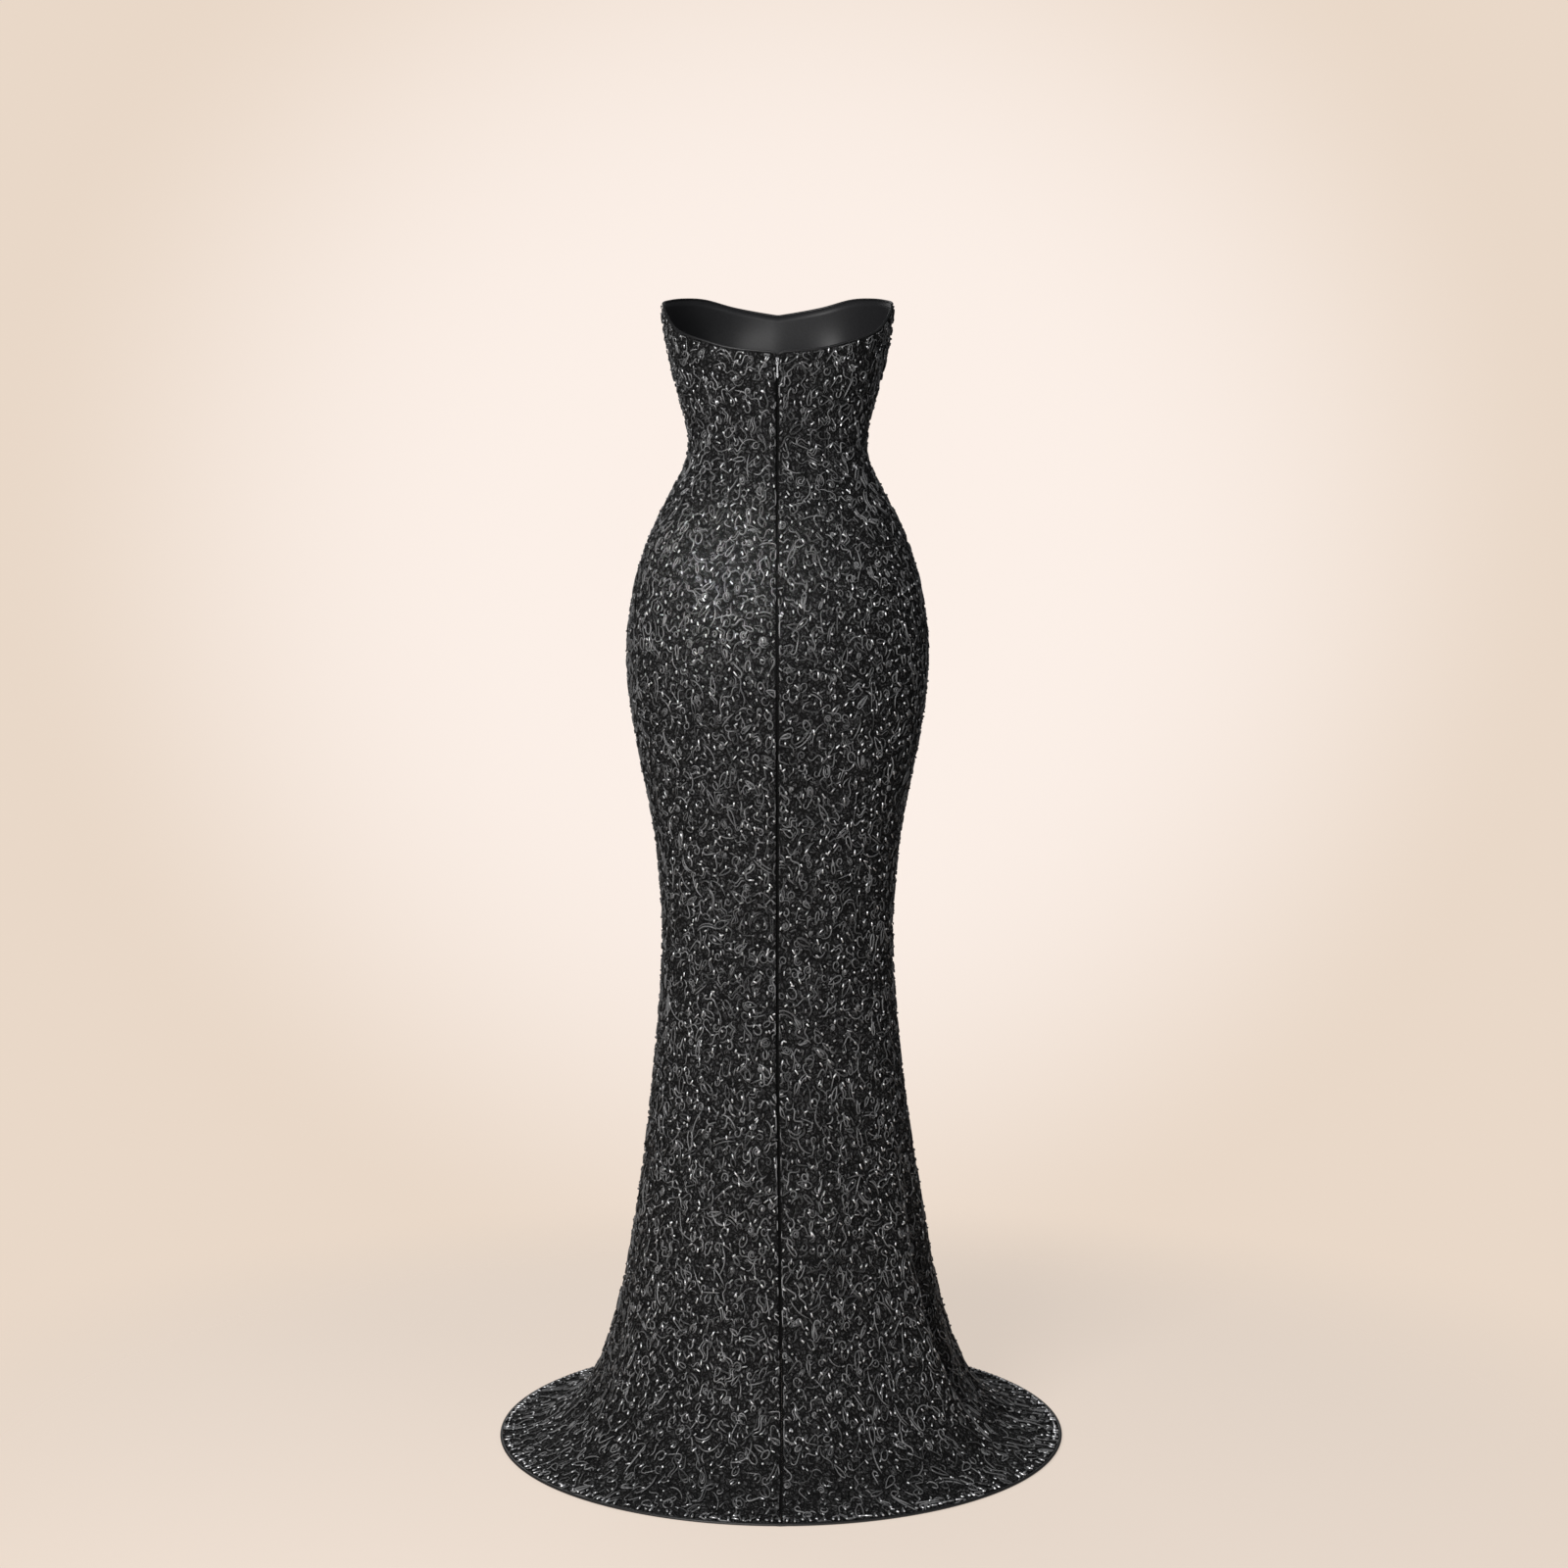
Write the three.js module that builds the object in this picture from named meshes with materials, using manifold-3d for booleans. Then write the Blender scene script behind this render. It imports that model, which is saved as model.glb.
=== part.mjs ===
// Evening gown: a strapless, floor-length trumpet gown of corded and beaded cloth, in its worn form.
// Millimetres, +Z up. The front faces -Y and the wearer's left is +X. The origin is the centre of the
// waist, where the gown is held up.
//
// Every cloth piece is a wall worked out from one surface, the outside of the gown. A point of that
// surface has an angle round the gown, 0 at the left side seam, 90 at the centre back, 180 at the right
// side seam and 270 at the centre front, and a distance down, measured along the side of the gown from
// its highest section.

import * as THREE from 'three';
import Module from 'manifold-3d';

// Cloth and seams
const WALL = 2.5;
const SEAM_GAP = 0.3;
const CENTRE_BACK = 90;
const CENTRE_FRONT = 270;

// Bindings
const NECK_BINDING_HEIGHT = 2.0;
const HEM_BINDING_WIDTH = 4.5;
const BINDING_PROUD = 0.5;

// Concealed zip
const ZIP_END_Z = -235;
const TAPE_THICKNESS = 0.9;

// Zip slider and pull tab
const SLIDER_Z = 77.5;
const SLIDER_WIDTH = 3.2;
const SLIDER_THICKNESS = 1.4;
const SLIDER_ABOVE = 4.2;
const SLIDER_BELOW = 3.6;
const BRIDGE_BORE = 1.05;
const BRIDGE_BAR = 0.8;
const BRIDGE_WIDTH = 0.8;
const PULL_THICKNESS = 1.0;
const PULL_LENGTH = 18.5;
const PULL_HEAD_WIDTH = 2.4;
const PULL_NECK_WIDTH = 1.3;
const PULL_TIP_WIDTH = 2.4;
const PULL_WINDOW_WIDTH = 1.3;
const PULL_WINDOW_REACH = 2.4;

// Neckline: its height by the angle from the centre back, the same on both sides.
const NECK_COLUMNS = ['fromBack', 'z'];
const NECKLINE = table(NECK_COLUMNS, [
  [0, 88],
  [23, 94],
  [43, 107],
  [55, 116],
  [64, 125],
  [72, 138],
  [82, 152],
  [90, 163],
  [105, 174],
  [125, 185],
  [142, 189],
  [160, 183],
  [180, 176],
]);
const NOTCH_DEPTH = 4;
const NOTCH_HALF_WIDTH = 5;

// Horizontal sections from the bust to the hem: half the width, how far the back and the front lie from
// the waist's centre, how much fuller than an ellipse the section is, and its shift to the left.
const SECTION_COLUMNS = ['z', 'halfWidth', 'back', 'front', 'fullness', 'shift'];
const SECTIONS = table(SECTION_COLUMNS, [
  [215, 127, 104, 106, 0.1, 0],
  [155, 130, 101, 118, 0.1, 0],
  [100, 120.5, 96, 114, 0.1, 0],
  [50, 109.5, 89, 104, 0.08, 0],
  [22, 103, 85, 99, 0.06, 0],
  [0, 101, 83, 97, 0.05, 0],
  [-22, 105.5, 84, 98, 0.05, 0],
  [-50, 119.5, 90, 101, 0.06, 0],
  [-100, 144, 106, 107, 0.07, 0],
  [-150, 160, 119, 111, 0.07, 0],
  [-205, 169, 127, 112, 0.07, 0],
  [-250, 170, 127, 112, 0.07, 0],
  [-300, 165, 122, 110, 0.07, 0],
  [-360, 154, 114, 107, 0.06, 0],
  [-430, 140, 105, 102, 0.05, 0],
  [-500, 132.5, 98, 98, 0.04, 0],
  [-560, 130.3, 95, 96, 0.03, 0],
  [-650, 135.5, 98, 97, 0.02, 0],
  [-750, 146, 108, 105, 0.01, -1],
  [-850, 160.5, 127, 121, 0, -2.5],
  [-940, 177, 153, 144, 0, -3.5],
  [-1000, 194, 182, 171, 0, -4.5],
  [-1045, 212.5, 212, 203, 0, -5],
  [-1072, 233, 238, 231, 0, -5],
  [-1090, 257, 263, 260, 0, -4.5],
  [-1100, 286, 289, 288, 0, -4],
  [-1104.5, 315.4, 315.4, 315.4, 0, -4],
]);
const HIP_Z = -230;

// Cups: the fullness that the front is shaped to, at a distance to each side of the centre.
const CUP = { across: 68, z: 128, reach: 15, radiusAcross: 44, radiusUp: 50 };

// Stitched lines: how far from the centre line each lies, on the back or the front and on both sides.
const CREASE_COLUMNS = ['name', 'half', 'across', 'zTop', 'zBottom', 'depth', 'halfWidth'];
const CREASES = table(CREASE_COLUMNS, [
  ['zip', 'back', 0, 120, -245, 2.0, 5],
  ['centreBackSeam', 'back', 0, -200, -1140, 1.0, 4],
  ['backDart', 'back', 55, 70, -125, 1.6, 5],
  ['frontDart', 'front', 72, 105, -95, 1.5, 5],
]);

// Skirt folds: an angle where each is deepest, how far it leans on the way down, the heights where it
// starts, is deepest and runs out, its depth, or its height if that is negative, and its half width.
const FOLD_COLUMNS = ['name', 'angle', 'lean', 'zTop', 'zDeep', 'zEnd', 'depth', 'halfAngle'];
const FOLDS = table(FOLD_COLUMNS, [
  ['rightBackValley', 154, 6, -750, -990, -1104, 19, 6],
  ['rightSideValley', 172, 2, -850, -1055, -1104, 9, 9],
  ['rightBackRidge', 141, 4, -790, -1020, -1104, -7, 9],
  ['rightMiddleValley', 117, 3, -880, -1050, -1104, 4, 10],
  ['leftMiddleValley', 63, -3, -900, -1050, -1104, 3, 10],
  ['leftBackRidge', 41, -3, -860, -1040, -1104, -3, 11],
  ['leftBackValley', 23, -5, -900, -1055, -1104, 5, 8],
  ['leftFrontValley', 341, 5, -870, -1050, -1104, 10, 8],
  ['leftFrontRidge', 322, 3, -850, -1040, -1104, -4, 10],
  ['leftInnerValley', 301, 2, -890, -1050, -1104, 5, 9],
  ['middleValley', 262, -2, -910, -1055, -1104, 4, 11],
  ['rightInnerValley', 229, -3, -870, -1050, -1104, 7, 9],
  ['rightFrontRidge', 211, -4, -860, -1040, -1104, -4, 9],
]);

// Bands of rows from the neckline down: the height where each ends and its number of rows.
const BAND_COLUMNS = ['zEnd', 'rows'];
const BANDS = table(BAND_COLUMNS, [
  [30, 6],
  [-60, 6],
  [ZIP_END_Z, 7],
  [-900, 15],
  [-1104.5, 13],
]);

// Column lines of a half, as distances from its centre line at the hip, and how many more there are,
// evenly spread, from the last of them to the side seam.
const BACK_HALF = { centre: CENTRE_BACK, lines: [0, 5, 12, 25, 38, 48, 55, 62], sideColumns: 8 };
const FRONT_HALF = { centre: CENTRE_FRONT, lines: [0, 18, 36, 52, 65, 72, 79], sideColumns: 7 };
const TAPE_LINES = 3;

function table(columns, rows) {
  return rows.map((row) => Object.fromEntries(columns.map((name, i) => [name, row[i]])));
}

function radians(degrees) {
  return (degrees * Math.PI) / 180;
}

function clamp(value, low, high) {
  return Math.min(Math.max(value, low), high);
}

function smoothStep(value) {
  const t = clamp(value, 0, 1);
  return t * t * (3 - 2 * t);
}

// A smooth curve through one column of a table, by the values of another that rises from row to row.
// It is a cubic between each two rows, with the slope at a row taken from the rows beside it.
function curve(rows, by, column) {
  const x = rows.map((row) => row[by]);
  const y = rows.map((row) => row[column]);
  const last = x.length - 1;
  const slopes = y.map((_, i) => {
    const before = Math.max(i - 1, 0);
    const after = Math.min(i + 1, last);
    return (y[after] - y[before]) / (x[after] - x[before]);
  });
  return (value) => {
    const at = clamp(value, x[0], x[last]);
    const next = clamp(x.findIndex((stop) => stop >= at), 1, last);
    const row = next - 1;
    const span = x[next] - x[row];
    const t = (at - x[row]) / span;
    const turned = 1 - t;
    const atRow = turned * turned * (1 + 2 * t) * y[row];
    const atNext = t * t * (3 - 2 * t) * y[next];
    const bend = t * turned * span * (turned * slopes[row] - t * slopes[next]);
    return atRow + atNext + bend;
  };
}

// Distance down the side of the gown to each section.
SECTIONS.forEach((section, i) => {
  const above = SECTIONS[Math.max(i - 1, 0)];
  const step = Math.hypot(section.halfWidth - above.halfWidth, section.z - above.z);
  section.down = i === 0 ? 0 : above.down + step;
});
const TOTAL_DOWN = SECTIONS[SECTIONS.length - 1].down;

const sectionAt = Object.fromEntries(
  SECTION_COLUMNS.map((column) => [column, curve(SECTIONS, 'down', column)]),
);
const neckHeight = curve(NECKLINE, 'fromBack', 'z');

// The distance down at which the gown has a height, found by halving.
function downAt(z) {
  let low = 0;
  let high = TOTAL_DOWN;
  for (let i = 0; i < 40; i += 1) {
    const middle = (low + high) / 2;
    if (sectionAt.z(middle) > z) low = middle;
    else high = middle;
  }
  return (low + high) / 2;
}
const HIP_DOWN = downAt(HIP_Z);

// A point of the plain section: an ellipse that is filled out between its axes.
function plainPoint(angle, down) {
  const c = Math.cos(radians(angle));
  const s = Math.sin(radians(angle));
  const depth = s > 0 ? sectionAt.back(down) : sectionAt.front(down);
  const fullness = sectionAt.fullness(down);
  const x = sectionAt.halfWidth(down) * c * (1 + fullness * s * s) + sectionAt.shift(down);
  const y = depth * s * (1 + fullness * c * c);
  return new THREE.Vector3(x, y, sectionAt.z(down));
}

// Outward direction of the plain surface, square to the lines round and down the gown.
function plainNormal(angle, down) {
  const turn = 0.05;
  const step = 0.5;
  const above = Math.max(down - step, 0);
  const below = Math.min(down + step, TOTAL_DOWN);
  const round = plainPoint(angle + turn, down).sub(plainPoint(angle - turn, down));
  const fall = plainPoint(angle, below).sub(plainPoint(angle, above));
  return fall.cross(round).normalize();
}

// How much wider the gown is than at the hip, for lines that spread with the skirt below the hip.
function spread(down) {
  return down > HIP_DOWN ? sectionAt.halfWidth(down) / sectionAt.halfWidth(HIP_DOWN) : 1;
}

// Turn from the centre line, in degrees, at which a section reaches a distance across.
function turnAt(across, down) {
  const share = (across * spread(down)) / sectionAt.halfWidth(down);
  const fullness = sectionAt.fullness(down);
  let turn = Math.asin(share);
  for (let i = 0; i < 6; i += 1) {
    turn = Math.asin(share / (1 + fullness * Math.cos(turn) ** 2));
  }
  return (turn * 180) / Math.PI;
}

// Depth of the stitched lines at a point.
function creaseDepth(angle, down, z) {
  const half = Math.sin(radians(angle)) > 0 ? 'back' : 'front';
  const centreX = plainPoint(angle, down).x - sectionAt.shift(down);
  const across = Math.abs(centreX) / spread(down);
  const depths = CREASES.filter((crease) => crease.half === half).map((crease) => {
    const middle = (crease.zTop + crease.zBottom) / 2;
    const reach = (crease.zTop - crease.zBottom) / 2;
    const ends = smoothStep((1 - Math.abs(z - middle) / reach) * 3);
    return crease.depth * ends * Math.exp(-(((across - crease.across) / crease.halfWidth) ** 2));
  });
  return depths.reduce((sum, depth) => sum + depth, 0);
}

// Depth of the skirt folds at a point.
function foldDepth(angle, z) {
  const depths = FOLDS.map((fold) => {
    const fall = (fold.zTop - z) / (fold.zTop - fold.zEnd);
    const grown = smoothStep((fold.zTop - z) / (fold.zTop - fold.zDeep));
    const left = smoothStep((z - fold.zEnd) / (fold.zDeep - fold.zEnd));
    const off = angle - fold.angle - fold.lean * clamp(fall, 0, 1);
    const turn = off - 360 * Math.round(off / 360);
    return fold.depth * grown * left * Math.exp(-((turn / fold.halfAngle) ** 2));
  });
  return depths.reduce((sum, depth) => sum + depth, 0);
}

// How far the cups stand out at a point of the front.
function cupReach(point) {
  if (point.y > 0) return 0;
  const across = (Math.abs(point.x) - CUP.across) / CUP.radiusAcross;
  const up = (point.z - CUP.z) / CUP.radiusUp;
  return CUP.reach * Math.exp(-(across ** 2) - up ** 2);
}

// A point of the gown at a distance outside its surface, or inside it if that is negative.
function clothPoint(angle, down, out) {
  const point = plainPoint(angle, down);
  const relief = cupReach(point) - creaseDepth(angle, down, point.z) - foldDepth(angle, point.z);
  return point.addScaledVector(plainNormal(angle, down), relief + out);
}

// Distance down to the gown's top edge.
function neckDown(angle) {
  const off = Math.abs(angle - CENTRE_BACK) % 360;
  const fromBack = Math.min(off, 360 - off);
  const edge = downAt(neckHeight(fromBack));
  const across = plainPoint(angle, edge).x;
  const nearCentre = fromBack < CENTRE_BACK ? 1 - Math.abs(across) / NOTCH_HALF_WIDTH : 0;
  return edge + NOTCH_DEPTH * Math.max(nearCentre, 0);
}

// Column lines of half a back or front, each a function that gives its angle at a distance down.
// side is 1 where the angles rise from the centre line to the side seam, or -1 where they fall.
function halfColumns(half, side) {
  const seamAngle = half.centre + 90 * side;
  const lines = half.lines.map((across) => (down) => half.centre + side * turnAt(across, down));
  const outermost = lines[lines.length - 1];
  const rest = Array.from({ length: half.sideColumns }, (_, i) => (down) => {
    const start = outermost(down);
    return start + ((seamAngle - start) * (i + 1)) / half.sideColumns;
  });
  return [...lines, ...rest];
}

// The same columns with a panel's edge line moved in by half the gap that seams have.
function withSeam(columns, index, side) {
  const seam = columns[index];
  const probe = 0.2;
  const moved = (down) => {
    const angle = seam(down);
    const reach = plainPoint(angle, down).distanceTo(plainPoint(angle + probe, down));
    return angle + (side * probe * SEAM_GAP) / 2 / reach;
  };
  return columns.map((column, i) => (i === index ? moved : column));
}

// Distances down a column line from the panel's top edge to its hem edge.
function panelRows(column) {
  const hemEdge = TOTAL_DOWN - HEM_BINDING_WIDTH - SEAM_GAP;
  const rows = [topOf(column) + NECK_BINDING_HEIGHT + SEAM_GAP];
  BANDS.forEach((band, b) => {
    const start = rows[rows.length - 1];
    const end = b === BANDS.length - 1 ? hemEdge : downAt(band.zEnd);
    for (let i = 1; i <= band.rows; i += 1) {
      rows.push(start + ((end - start) * i) / band.rows);
    }
  });
  return rows;
}

// Distance down a column line to the gown's top edge.
function topOf(column) {
  let top = downAt(NECKLINE[0].z);
  for (let i = 0; i < 4; i += 1) top = neckDown(column(top));
  return top;
}

// A closed wall between two distances out from the surface. Rows are distances down, worked out for
// each column line. A ring joins its last column to its first.
function wallGeometry(columns, rowsOf, outer, inner, ring = false) {
  const grid = columns.map((column) => rowsOf(column).map((down) => ({ angle: column(down), down })));
  const faces = [outer, inner].map((out) =>
    grid.map((stops) => stops.map(({ angle, down }) => clothPoint(angle, down, out))),
  );
  const columnCount = grid.length;
  const rowCount = grid[0].length;
  const points = faces.flat(2);
  const at = (face, column, row) =>
    (face * columnCount + (column % columnCount)) * rowCount + row;
  const indices = [];
  const quad = (a, b, c, d) => indices.push(a, b, c, a, c, d);
  const lastColumn = ring ? columnCount : columnCount - 1;
  for (let c = 0; c < lastColumn; c += 1) {
    for (let r = 0; r < rowCount - 1; r += 1) {
      quad(at(0, c, r), at(0, c, r + 1), at(0, c + 1, r + 1), at(0, c + 1, r));
      quad(at(1, c, r), at(1, c + 1, r), at(1, c + 1, r + 1), at(1, c, r + 1));
    }
    const end = rowCount - 1;
    quad(at(0, c, 0), at(0, c + 1, 0), at(1, c + 1, 0), at(1, c, 0));
    quad(at(0, c, end), at(1, c, end), at(1, c + 1, end), at(0, c + 1, end));
  }
  for (let r = 0; r < rowCount - 1 && !ring; r += 1) {
    const far = columnCount - 1;
    quad(at(0, 0, r), at(1, 0, r), at(1, 0, r + 1), at(0, 0, r + 1));
    quad(at(0, far, r), at(0, far, r + 1), at(1, far, r + 1), at(1, far, r));
  }
  const numbers = points.flatMap((point) => point.toArray());
  const geometry = new THREE.BufferGeometry();
  geometry.setAttribute('position', new THREE.Float32BufferAttribute(numbers, 3));
  geometry.setIndex(indices);
  geometry.computeVertexNormals();
  return geometry;
}

// Column lines of the three panels, in the order of rising angle, each with its edges at the seams.
function panelColumns() {
  const backLeft = halfColumns(BACK_HALF, -1).reverse();
  const backRight = halfColumns(BACK_HALF, 1);
  const front = [...halfColumns(FRONT_HALF, -1).reverse(), ...halfColumns(FRONT_HALF, 1).slice(1)];
  const trimmed = (columns) => withSeam(withSeam(columns, 0, 1), columns.length - 1, -1);
  return { backLeft: trimmed(backLeft), backRight: trimmed(backRight), front: trimmed(front) };
}

// The neckline binding sits on the panels' top edges, a little proud of both faces.
function neckBindingRows(column) {
  const top = topOf(column);
  return [top, top + NECK_BINDING_HEIGHT];
}

// The hem binding runs round outside the panels' hem edges and lies on the floor.
function hemBindingRows() {
  return [TOTAL_DOWN - HEM_BINDING_WIDTH, TOTAL_DOWN];
}

// A zip tape lies inside the panel's edge, from the top edge to the end of the zip.
function tapeRows(column) {
  const rows = BANDS.slice(0, 3).reduce((sum, band) => sum + band.rows, 0);
  return panelRows(column).slice(0, rows + 1);
}

// A flat outline through corner points, given as [x, y] pairs.
function outlineOf(points) {
  return new THREE.Shape(points.map(([x, y]) => new THREE.Vector2(x, y)));
}

// Turns an extruded outline's own axes into the gown's: its x, y and depth point along these.
function turned(geometry, alongX, alongY, alongDepth, origin) {
  const matrix = new THREE.Matrix4().makeBasis(alongX, alongY, alongDepth).setPosition(origin);
  return geometry.applyMatrix4(matrix);
}

// A closed mesh as a solid that can be joined with others.
function solidOf(wasm, geometry) {
  const position = geometry.getAttribute('position');
  const seen = new Map();
  const corners = [];
  const triVerts = [];
  for (let i = 0; i < position.count; i += 1) {
    const corner = [position.getX(i), position.getY(i), position.getZ(i)];
    const key = corner.map((value) => value.toFixed(5)).join();
    if (!seen.has(key)) {
      seen.set(key, corners.length / 3);
      corners.push(...corner);
    }
    triVerts.push(seen.get(key));
  }
  const mesh = new wasm.Mesh({
    numProp: 3,
    vertProperties: new Float32Array(corners),
    triVerts: new Uint32Array(triVerts),
  });
  return new wasm.Manifold(mesh);
}

// A joined solid as a geometry again.
function geometryOf(solid) {
  const mesh = solid.getMesh();
  const geometry = new THREE.BufferGeometry();
  geometry.setAttribute('position', new THREE.BufferAttribute(new Float32Array(mesh.vertProperties), 3));
  geometry.setIndex(new THREE.BufferAttribute(new Uint32Array(mesh.triVerts), 1));
  geometry.computeVertexNormals();
  return geometry;
}

// Directions of the slider: down the centre back along the cloth, out from the cloth, and across.
function sliderAxes() {
  const sideDown = downAt(SLIDER_Z);
  const upper = clothPoint(CENTRE_BACK, sideDown - SLIDER_ABOVE, 0);
  const lower = clothPoint(CENTRE_BACK, sideDown + SLIDER_BELOW, 0);
  const along = lower.clone().sub(upper).normalize();
  const across = new THREE.Vector3(1, 0, 0);
  const out = across.clone().cross(along).normalize();
  return { along, across, out };
}

// The centre of the pull tab's bar, far enough out for the slider to clear the cloth beside the zip.
function pullAxis() {
  const { out } = sliderAxes();
  const sideDown = downAt(SLIDER_Z);
  const turn = turnAt(SLIDER_WIDTH / 2, sideDown);
  const beside = clothPoint(CENTRE_BACK - turn, sideDown, 0);
  const seat = new THREE.Vector3(0, beside.y, beside.z);
  return seat.addScaledVector(out, SEAM_GAP + SLIDER_THICKNESS + BRIDGE_BORE);
}

// The slider: a plate on the cloth with a bridge over it, under which the pull tab's bar turns.
function sliderGeometry(wasm) {
  const { along, across, out } = sliderAxes();
  const origin = pullAxis();
  const face = -BRIDGE_BORE;
  const bevel = 0.3;
  const plateOutline = outlineOf([
    [-SLIDER_ABOVE + bevel, face],
    [-SLIDER_ABOVE, face - bevel],
    [-SLIDER_ABOVE, face - SLIDER_THICKNESS],
    [SLIDER_BELOW, face - SLIDER_THICKNESS],
    [SLIDER_BELOW, face - bevel],
    [SLIDER_BELOW - bevel, face],
  ]);
  const outside = BRIDGE_BORE + BRIDGE_BAR;
  const bridgeOutline = new THREE.Shape();
  bridgeOutline.moveTo(outside, face - bevel);
  bridgeOutline.lineTo(outside, 0);
  bridgeOutline.absarc(0, 0, outside, 0, Math.PI, false);
  bridgeOutline.lineTo(-outside, face - bevel);
  bridgeOutline.lineTo(-BRIDGE_BORE, face - bevel);
  bridgeOutline.lineTo(-BRIDGE_BORE, 0);
  bridgeOutline.absarc(0, 0, BRIDGE_BORE, Math.PI, 0, true);
  bridgeOutline.lineTo(BRIDGE_BORE, face - bevel);
  const pieces = [
    { outline: plateOutline, width: SLIDER_WIDTH },
    { outline: bridgeOutline, width: BRIDGE_WIDTH },
  ].map(({ outline, width }) => {
    const settings = { depth: width, bevelEnabled: false, curveSegments: 8 };
    const geometry = new THREE.ExtrudeGeometry(outline, settings);
    geometry.translate(0, 0, -width / 2);
    return solidOf(wasm, turned(geometry, along, out, across, origin));
  });
  return geometryOf(pieces[0].add(pieces[1]));
}

// The pull tab: a flat drop that hangs from a bar, with a window below the bar for the bridge.
// Its geometry has the bar's centre as its origin.
function pullGeometry() {
  const barTop = PULL_THICKNESS / 2;
  const shoulder = -PULL_WINDOW_REACH - 0.8;
  const neck = shoulder - 1.6;
  const tipRadius = PULL_TIP_WIDTH / 2;
  const tipCentre = -PULL_LENGTH + barTop + tipRadius;
  const outline = new THREE.Shape();
  outline.moveTo(-PULL_HEAD_WIDTH / 2, barTop);
  outline.lineTo(-PULL_HEAD_WIDTH / 2, shoulder);
  outline.lineTo(-PULL_NECK_WIDTH / 2, neck);
  outline.lineTo(-tipRadius, tipCentre);
  outline.absarc(0, tipCentre, tipRadius, Math.PI, 2 * Math.PI, false);
  outline.lineTo(PULL_NECK_WIDTH / 2, neck);
  outline.lineTo(PULL_HEAD_WIDTH / 2, shoulder);
  outline.lineTo(PULL_HEAD_WIDTH / 2, barTop);
  const window = new THREE.Path();
  window.moveTo(-PULL_WINDOW_WIDTH / 2, -PULL_THICKNESS / 2);
  window.lineTo(PULL_WINDOW_WIDTH / 2, -PULL_THICKNESS / 2);
  window.lineTo(PULL_WINDOW_WIDTH / 2, -PULL_WINDOW_REACH);
  window.lineTo(-PULL_WINDOW_WIDTH / 2, -PULL_WINDOW_REACH);
  outline.holes.push(window);
  const geometry = new THREE.ExtrudeGeometry(outline, {
    depth: PULL_THICKNESS,
    bevelEnabled: false,
    curveSegments: 10,
  });
  geometry.translate(0, 0, -PULL_THICKNESS / 2);
  const left = new THREE.Vector3(1, 0, 0);
  const up = new THREE.Vector3(0, 0, 1);
  const forward = new THREE.Vector3(0, -1, 0);
  return turned(geometry, left, up, forward, new THREE.Vector3());
}

const materials = {
  cloth: new THREE.MeshStandardMaterial({ color: 0x2b2b2c, roughness: 0.62, metalness: 0 }),
  binding: new THREE.MeshStandardMaterial({ color: 0x171718, roughness: 0.5, metalness: 0 }),
  tape: new THREE.MeshStandardMaterial({ color: 0x141415, roughness: 0.75, metalness: 0 }),
  metal: new THREE.MeshStandardMaterial({ color: 0xb9bbbd, roughness: 0.25, metalness: 1 }),
};

function addPiece(group, name, geometry, material) {
  const mesh = new THREE.Mesh(geometry, material);
  mesh.name = name;
  group.add(mesh);
  return mesh;
}

// The three panels, seamed at the sides and, below the zip, at the centre back.
function addPanels(group, columns) {
  const panels = {
    front_panel: columns.front,
    back_left_panel: columns.backLeft,
    back_right_panel: columns.backRight,
  };
  Object.entries(panels).forEach(([name, lines]) => {
    addPiece(group, name, wallGeometry(lines, panelRows, 0, -WALL), materials.cloth);
  });
}

// The bindings of the neckline, open at the zip, and of the hem, closed.
function addBindings(group, columns) {
  const fromZip = [...columns.backRight, ...columns.front, ...columns.backLeft];
  const neck = wallGeometry(fromZip, neckBindingRows, BINDING_PROUD, -WALL - BINDING_PROUD);
  const hem = wallGeometry(fromZip, hemBindingRows, BINDING_PROUD, -WALL, true);
  addPiece(group, 'neck_binding', neck, materials.binding);
  addPiece(group, 'hem_binding', hem, materials.binding);
}

// The zip: its tapes behind the centre back edges, its slider and its pull tab.
function addZip(group, columns, wasm) {
  const outer = -WALL - SEAM_GAP;
  const inner = outer - TAPE_THICKNESS;
  const leftLines = columns.backLeft.slice(-TAPE_LINES);
  const rightLines = columns.backRight.slice(0, TAPE_LINES);
  addPiece(group, 'zip_tape_left', wallGeometry(leftLines, tapeRows, outer, inner), materials.tape);
  addPiece(group, 'zip_tape_right', wallGeometry(rightLines, tapeRows, outer, inner), materials.tape);
  addPiece(group, 'zip_slider', sliderGeometry(wasm), materials.metal);
  const pull = addPiece(group, 'zip_pull', pullGeometry(), materials.metal);
  pull.position.copy(pullAxis());
}

const wasm = await Module();
wasm.setup();
const gown = new THREE.Group();
const columns = panelColumns();
addPanels(gown, columns);
addBindings(gown, columns);
addZip(gown, columns, wasm);

export default gown;
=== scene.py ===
import math

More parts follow.
